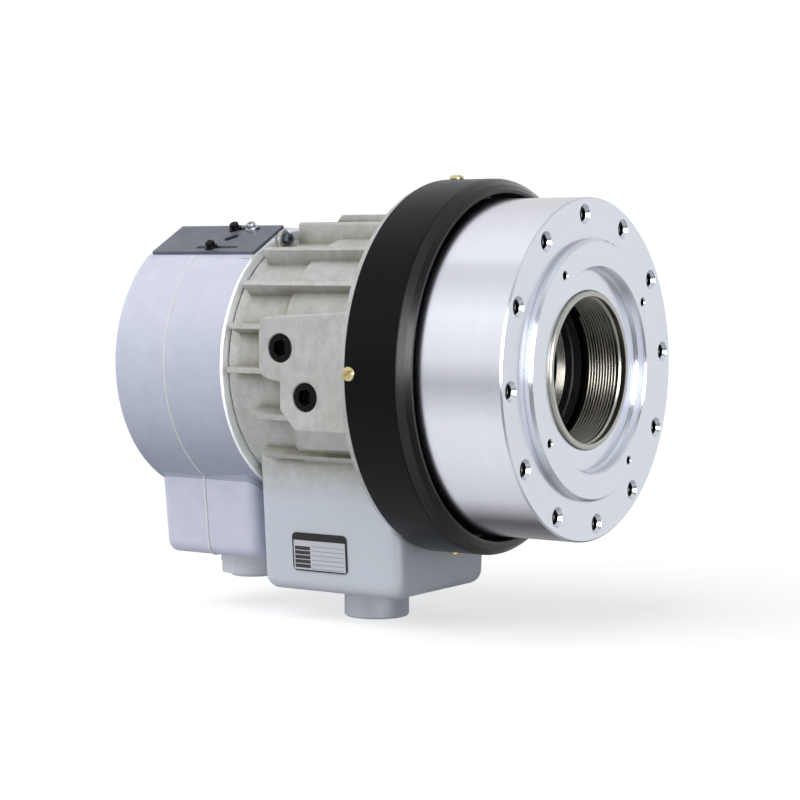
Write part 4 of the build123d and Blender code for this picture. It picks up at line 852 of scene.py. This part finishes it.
class CYLINDER_OT_name_plate(bpy.types.Operator):
    """Bare name plate with a dark head band and empty fields"""

    bl_idname = "cylinder.name_plate"
    bl_label = "Name plate"

    def execute(self, context):
        """Finish the name plate."""
        made, web, shader, where = start_material("name_plate_print")
        low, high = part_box("name_plate")
        size = high - low
        split = web.split(where)
        across = web.math("DIVIDE", web.math("SUBTRACT", split["X"], low.x), size.x)
        up = web.math("DIVIDE", web.math("SUBTRACT", split["Z"], low.z), size.z)

        def between(value, start, stop):
            """Mask that is one between two limits."""
            above = web.math("GREATER_THAN", value, start)
            return web.math("MULTIPLY", above, web.math("LESS_THAN", value, stop))

        def area(left, right, bottom, top):
            """Mask of a rectangle on the plate."""
            return web.math("MULTIPLY", between(across, left, right), between(up, bottom, top))

        field = area(*PLATE_FIELD)
        rows = web.math("DIVIDE", web.math("SUBTRACT", up, ROWS_START), ROW_HEIGHT)
        rows = web.math("FRACT", rows)
        boxes = web.math("MULTIPLY", area(*PLATE_BOXES), web.math("GREATER_THAN", rows, BOX_GAP))
        lines = web.math("MULTIPLY", area(*PLATE_LINES), web.math("LESS_THAN", rows, LINE_WIDTH))
        silver = web.mix(lines, (0.66, 0.66, 0.72), (0.24, 0.25, 0.28))
        silver = web.mix(boxes, silver, (0.035, 0.035, 0.042))
        tone = web.mix(field, (0.006, 0.006, 0.008), silver)
        cloud = web.noise(where, scale=500.0)
        rough = web.swing(cloud, middle=0.4, width=0.2)
        height = web.math("ADD", field, web.math("MULTIPLY", cloud, 0.2))
        bump = web.bump(height, depth=0.00005, strength=0.4)
        join(web, shader, Base_Color=tone, Roughness=rough, Normal=bump)
        wear(made, "name_plate")
        return {"FINISHED"}


class CYLINDER_OT_draw_tube_thread(bpy.types.Operator):
    """Fine thread in the piston nose"""

    bl_idname = "cylinder.draw_tube_thread"
    bl_label = "Draw tube thread"

    def execute(self, context):
        """Build the thread."""
        mount = mounts["draw_tube_thread"]
        run = mount["dims"]["length_mm"] / 1000
        radius = mount["dims"]["r_mm"] / 1000
        pitch = sizes().draw_thread_pitch
        shape = bmesh.new()
        mouth = Vector(mount["pos_m"]) + Vector((run / 2, 0, 0))
        depth = 0.30 * pitch
        add_thread(shape, mouth, (1, 0, 0), radius, depth, pitch, run, steps=144)
        # The thread is darker than the piston's steel: painted shade inside the bore
        finish = turned_steel(
            "shaded_thread_steel", (0.27, 0.255, 0.22), roughness=0.28, pitch=0.0004, depth=0.000004
        )
        new_piece("draw_tube_thread", shape, finish, "piston")
        return {"FINISHED"}


class CYLINDER_OT_face_hole_threads(bpy.types.Operator):
    """Threads in the holes of the mounting face"""

    bl_idname = "cylinder.face_hole_threads"
    bl_label = "Face hole threads"

    def execute(self, context):
        """Build the threads."""
        shape = bmesh.new()
        pitch = sizes().hole_thread_pitch
        depth = 0.25 * pitch
        run = FACE_HOLE_TURNS * pitch
        for name, first, sunk in FACE_HOLES:
            mount = mounts[name]
            circle = mount["dims"]["pcd_mm"] / 2000
            radius = mount["dims"]["hole_r_mm"] / 1000
            count = mount["dims"]["count"]
            for step in range(count):
                turn = radians(first) + tau * step / count
                mouth = Vector((mount["pos_m"][0] - sunk, circle * cos(turn), circle * sin(turn)))
                add_thread(shape, mouth, (1, 0, 0), radius, depth, pitch, run, steps=16)
        # The near-black colour of the hole threads is painted shade inside the holes
        finish = plain_steel("shaded_hole_thread_steel", (0.07, 0.07, 0.075), roughness=0.35)
        new_piece("face_hole_threads", shape, finish, "rotor")
        return {"FINISHED"}


class CYLINDER_OT_port_threads(bpy.types.Operator):
    """Threads in the open ports and the two drains"""

    bl_idname = "cylinder.port_threads"
    bl_label = "Port threads"

    def execute(self, context):
        """Build the threads."""
        shape = bmesh.new()
        pitch = sizes().port_thread_pitch
        depth = 0.3 * pitch
        for name in ("port_rear", "port_front", "housing_drain", "collector_drain"):
            mount = mounts[name]
            run = mount["dims"]["length_mm"] / 1000
            axis = Vector(mount["axis"])
            mouth = Vector(mount["pos_m"]) + axis * run / 2
            radius = mount["dims"]["r_mm"] / 1000
            run = min(run, LONGEST_PORT_THREAD)
            add_thread(shape, mouth, axis, radius, depth, pitch, run, steps=32)
        finish = plain_steel("port_thread_metal", (0.55, 0.56, 0.54), roughness=0.35)
        new_piece("port_threads", shape, finish, "housing")
        return {"FINISHED"}


def soft_sun(name, strength, place, shade):
    """Broad soft light from the direction of a point; metal shows the room instead of it."""
    data = bpy.data.lights.new(name, "SUN")
    data.energy = strength
    data.angle = radians(LIGHT_WIDTH)
    data.color = shade
    lamp = bpy.data.objects.new(name, data)
    lamp.location = place
    lamp.rotation_euler = Vector(place).to_track_quat("Z", "Y").to_euler()
    lamp.visible_glossy = False
    bpy.context.scene.collection.objects.link(lamp)


def floor_paper():
    """White paper: a plain colour with a white glow where the camera sees it."""
    made, web, shader, where = start_material("floor_paper")
    chosen = studio()
    cloud = web.noise(where, scale=3.0, detail=2.0)
    tone = vary(web, cloud, tuple(chosen.floor), low=0.99, high=1.0)
    rays = web.node("ShaderNodeLightPath").outputs
    glow = web.math("MULTIPLY", rays["Is Camera Ray"], chosen.floor_glow)
    join(web, shader, Base_Color=tone, Emission_Strength=glow)
    shader.inputs["Emission Color"].default_value = (*WHITE, 1.0)
    shader.inputs["Roughness"].default_value = 0.9
    shader.inputs["Specular IOR Level"].default_value = 0.0
    return made


def round_the_axis(tint, stops):
    """Ramp stops from (degrees above the left horizon, level), seen along the cylinder's axis."""
    return [(0.5 + angle / 360, [level * part for part in tint]) for angle, level in stops]


def studio_room():
    """World: white to the camera, an even room to the object, and soft boxes in its metal."""
    chosen = studio()
    world = bpy.data.worlds.new("studio_room")
    world.use_nodes = True
    web = Web(world.node_tree)
    way = web.node("ShaderNodeTexCoord").outputs["Generated"]
    split = web.split(way)
    turn = web.math("ARCTAN2", split["Z"], web.math("MULTIPLY", split["Y"], -1.0))
    turn = web.math("MULTIPLY_ADD", turn, 0.5 / pi, 0.5)
    behind = web.ramp(turn, *round_the_axis(BEHIND_TINT, ROOM_BEHIND))
    ahead = web.ramp(turn, *round_the_axis(AHEAD_TINT, ROOM_AHEAD))
    boxes = web.mix(web.fade(split["X"], *AHEAD_SPAN), behind, ahead)
    boxes = web.mix(web.fade(split["X"], *STRAIGHT_SPAN), boxes, STRAIGHT_SHADE)
    height = web.math("COMPARE", turn, 0.5 + BOX_TURN / 360, BOX_HALF_WIDTH / 360)
    share = web.ramp(split["X"], *((place, 3 * (level,)) for place, level in BOX_SHARES))
    front = web.math("MULTIPLY", height, share)
    boxes = web.mix(front, boxes, WHITE)
    rays = web.node("ShaderNodeLightPath").outputs
    mirrored = web.math("MAXIMUM", rays["Is Glossy Ray"], rays["Is Transmission Ray"])
    shade = web.mix(mirrored, EVEN_SHADE, boxes)
    shade = web.mix(rays["Is Camera Ray"], shade, WHITE)
    mirror_strength = web.math("MULTIPLY_ADD", front, chosen.front_box, MIRROR_LEVEL)
    strength = web.math("SUBTRACT", mirror_strength, chosen.room_light)
    strength = web.math("MULTIPLY_ADD", mirrored, strength, chosen.room_light)
    strength = web.math("MULTIPLY_ADD", rays["Is Camera Ray"], 1.0 - chosen.room_light, strength)
    background = world.node_tree.nodes["Background"]
    world.node_tree.links.new(shade, background.inputs["Color"])
    world.node_tree.links.new(strength, background.inputs["Strength"])
    return world


class CYLINDER_OT_studio(bpy.types.Operator):
    """Pale floor, soft lights and the camera"""

    bl_idname = "cylinder.studio"
    bl_label = "Studio"

    def execute(self, context):
        """Build the studio."""
        chosen = studio()
        low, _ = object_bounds()
        shape = bmesh.new()
        bmesh.ops.create_grid(shape, x_segments=1, y_segments=1, size=FLOOR_HALF_SIDE)
        bmesh.ops.translate(shape, vec=(0, 0, low.z - FLOOR_GAP), verts=shape.verts)
        mesh = bpy.data.meshes.new("floor")
        shape.to_mesh(mesh)
        shape.free()
        mesh.materials.append(floor_paper())
        floor = bpy.data.objects.new("floor", mesh)
        context.scene.collection.objects.link(floor)
        floor.visible_glossy = False
        floor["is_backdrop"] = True
        context.scene.world = studio_room()
        soft_sun("key_light", chosen.key_light, KEY_PLACE, (1.0, 0.99, 0.97))
        soft_sun("side_light", chosen.side_light, SIDE_PLACE, (0.98, 0.99, 1.0))
        data = bpy.data.cameras.new("photo_camera")
        data.sensor_width = CAMERA_SENSOR
        data.lens = CAMERA_LENS
        data.clip_start = 0.05
        data.clip_end = 60.0
        camera = bpy.data.objects.new("photo_camera", data)
        turn, lift = radians(chosen.azimuth), radians(chosen.elevation)
        back = Vector((sin(turn) * cos(lift), -cos(turn) * cos(lift), sin(lift)))
        camera.location = CAMERA_AIM + back * chosen.distance
        camera.rotation_euler = (-back).to_track_quat("-Z", "Y").to_euler()
        context.scene.collection.objects.link(camera)
        context.scene.camera = camera
        context.scene.view_settings.view_transform = "Standard"
        return {"FINISHED"}


class CYLINDER_PT_sidebar(bpy.types.Panel):
    """Lists the steps that finish the cylinder"""

    bl_idname = "CYLINDER_PT_sidebar"
    bl_label = "Chuck Cylinder"
    bl_space_type = "VIEW_3D"
    bl_region_type = "UI"
    bl_category = "Chuck Cylinder"

    def draw(self, context):
        """Draw the settings and one button for each step."""
        layout = self.layout
        scene = context.scene
        for group in (scene.cylinder_colours, scene.cylinder_sizes, scene.cylinder_studio):
            box = layout.box()
            for name in group.bl_rna.properties.keys():
                if name not in {"rna_type", "name"}:
                    box.prop(group, name)
        for step in steps:
            layout.operator(step.bl_idname)


steps = (
    CYLINDER_OT_turned_body,
    CYLINDER_OT_ground_pieces,
    CYLINDER_OT_bearings,
    CYLINDER_OT_housing,
    CYLINDER_OT_guard_ring,
    CYLINDER_OT_collector,
    CYLINDER_OT_switch_plate,
    CYLINDER_OT_fasteners,
    CYLINDER_OT_seals,
    CYLINDER_OT_name_plate,
    CYLINDER_OT_draw_tube_thread,
    CYLINDER_OT_face_hole_threads,
    CYLINDER_OT_port_threads,
    CYLINDER_OT_studio,
)
settings = (CylinderColours, CylinderSizes, StudioSettings)


def register():
    """Register the settings, the steps and the panel."""
    for kind in (*settings, *steps, CYLINDER_PT_sidebar):
        bpy.utils.register_class(kind)
    bpy.types.Scene.cylinder_colours = PointerProperty(type=CylinderColours)
    bpy.types.Scene.cylinder_sizes = PointerProperty(type=CylinderSizes)
    bpy.types.Scene.cylinder_studio = PointerProperty(type=StudioSettings)


def unregister():
    """Take everything out again."""
    del bpy.types.Scene.cylinder_studio
    del bpy.types.Scene.cylinder_sizes
    del bpy.types.Scene.cylinder_colours
    for kind in reversed((*settings, *steps, CYLINDER_PT_sidebar)):
        bpy.utils.unregister_class(kind)


def main():
    """Register the add-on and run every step."""
    register()
    for step in steps:
        family, name = step.bl_idname.split(".")
        getattr(getattr(bpy.ops, family), name)()


if __name__ == "__main__":
    main()
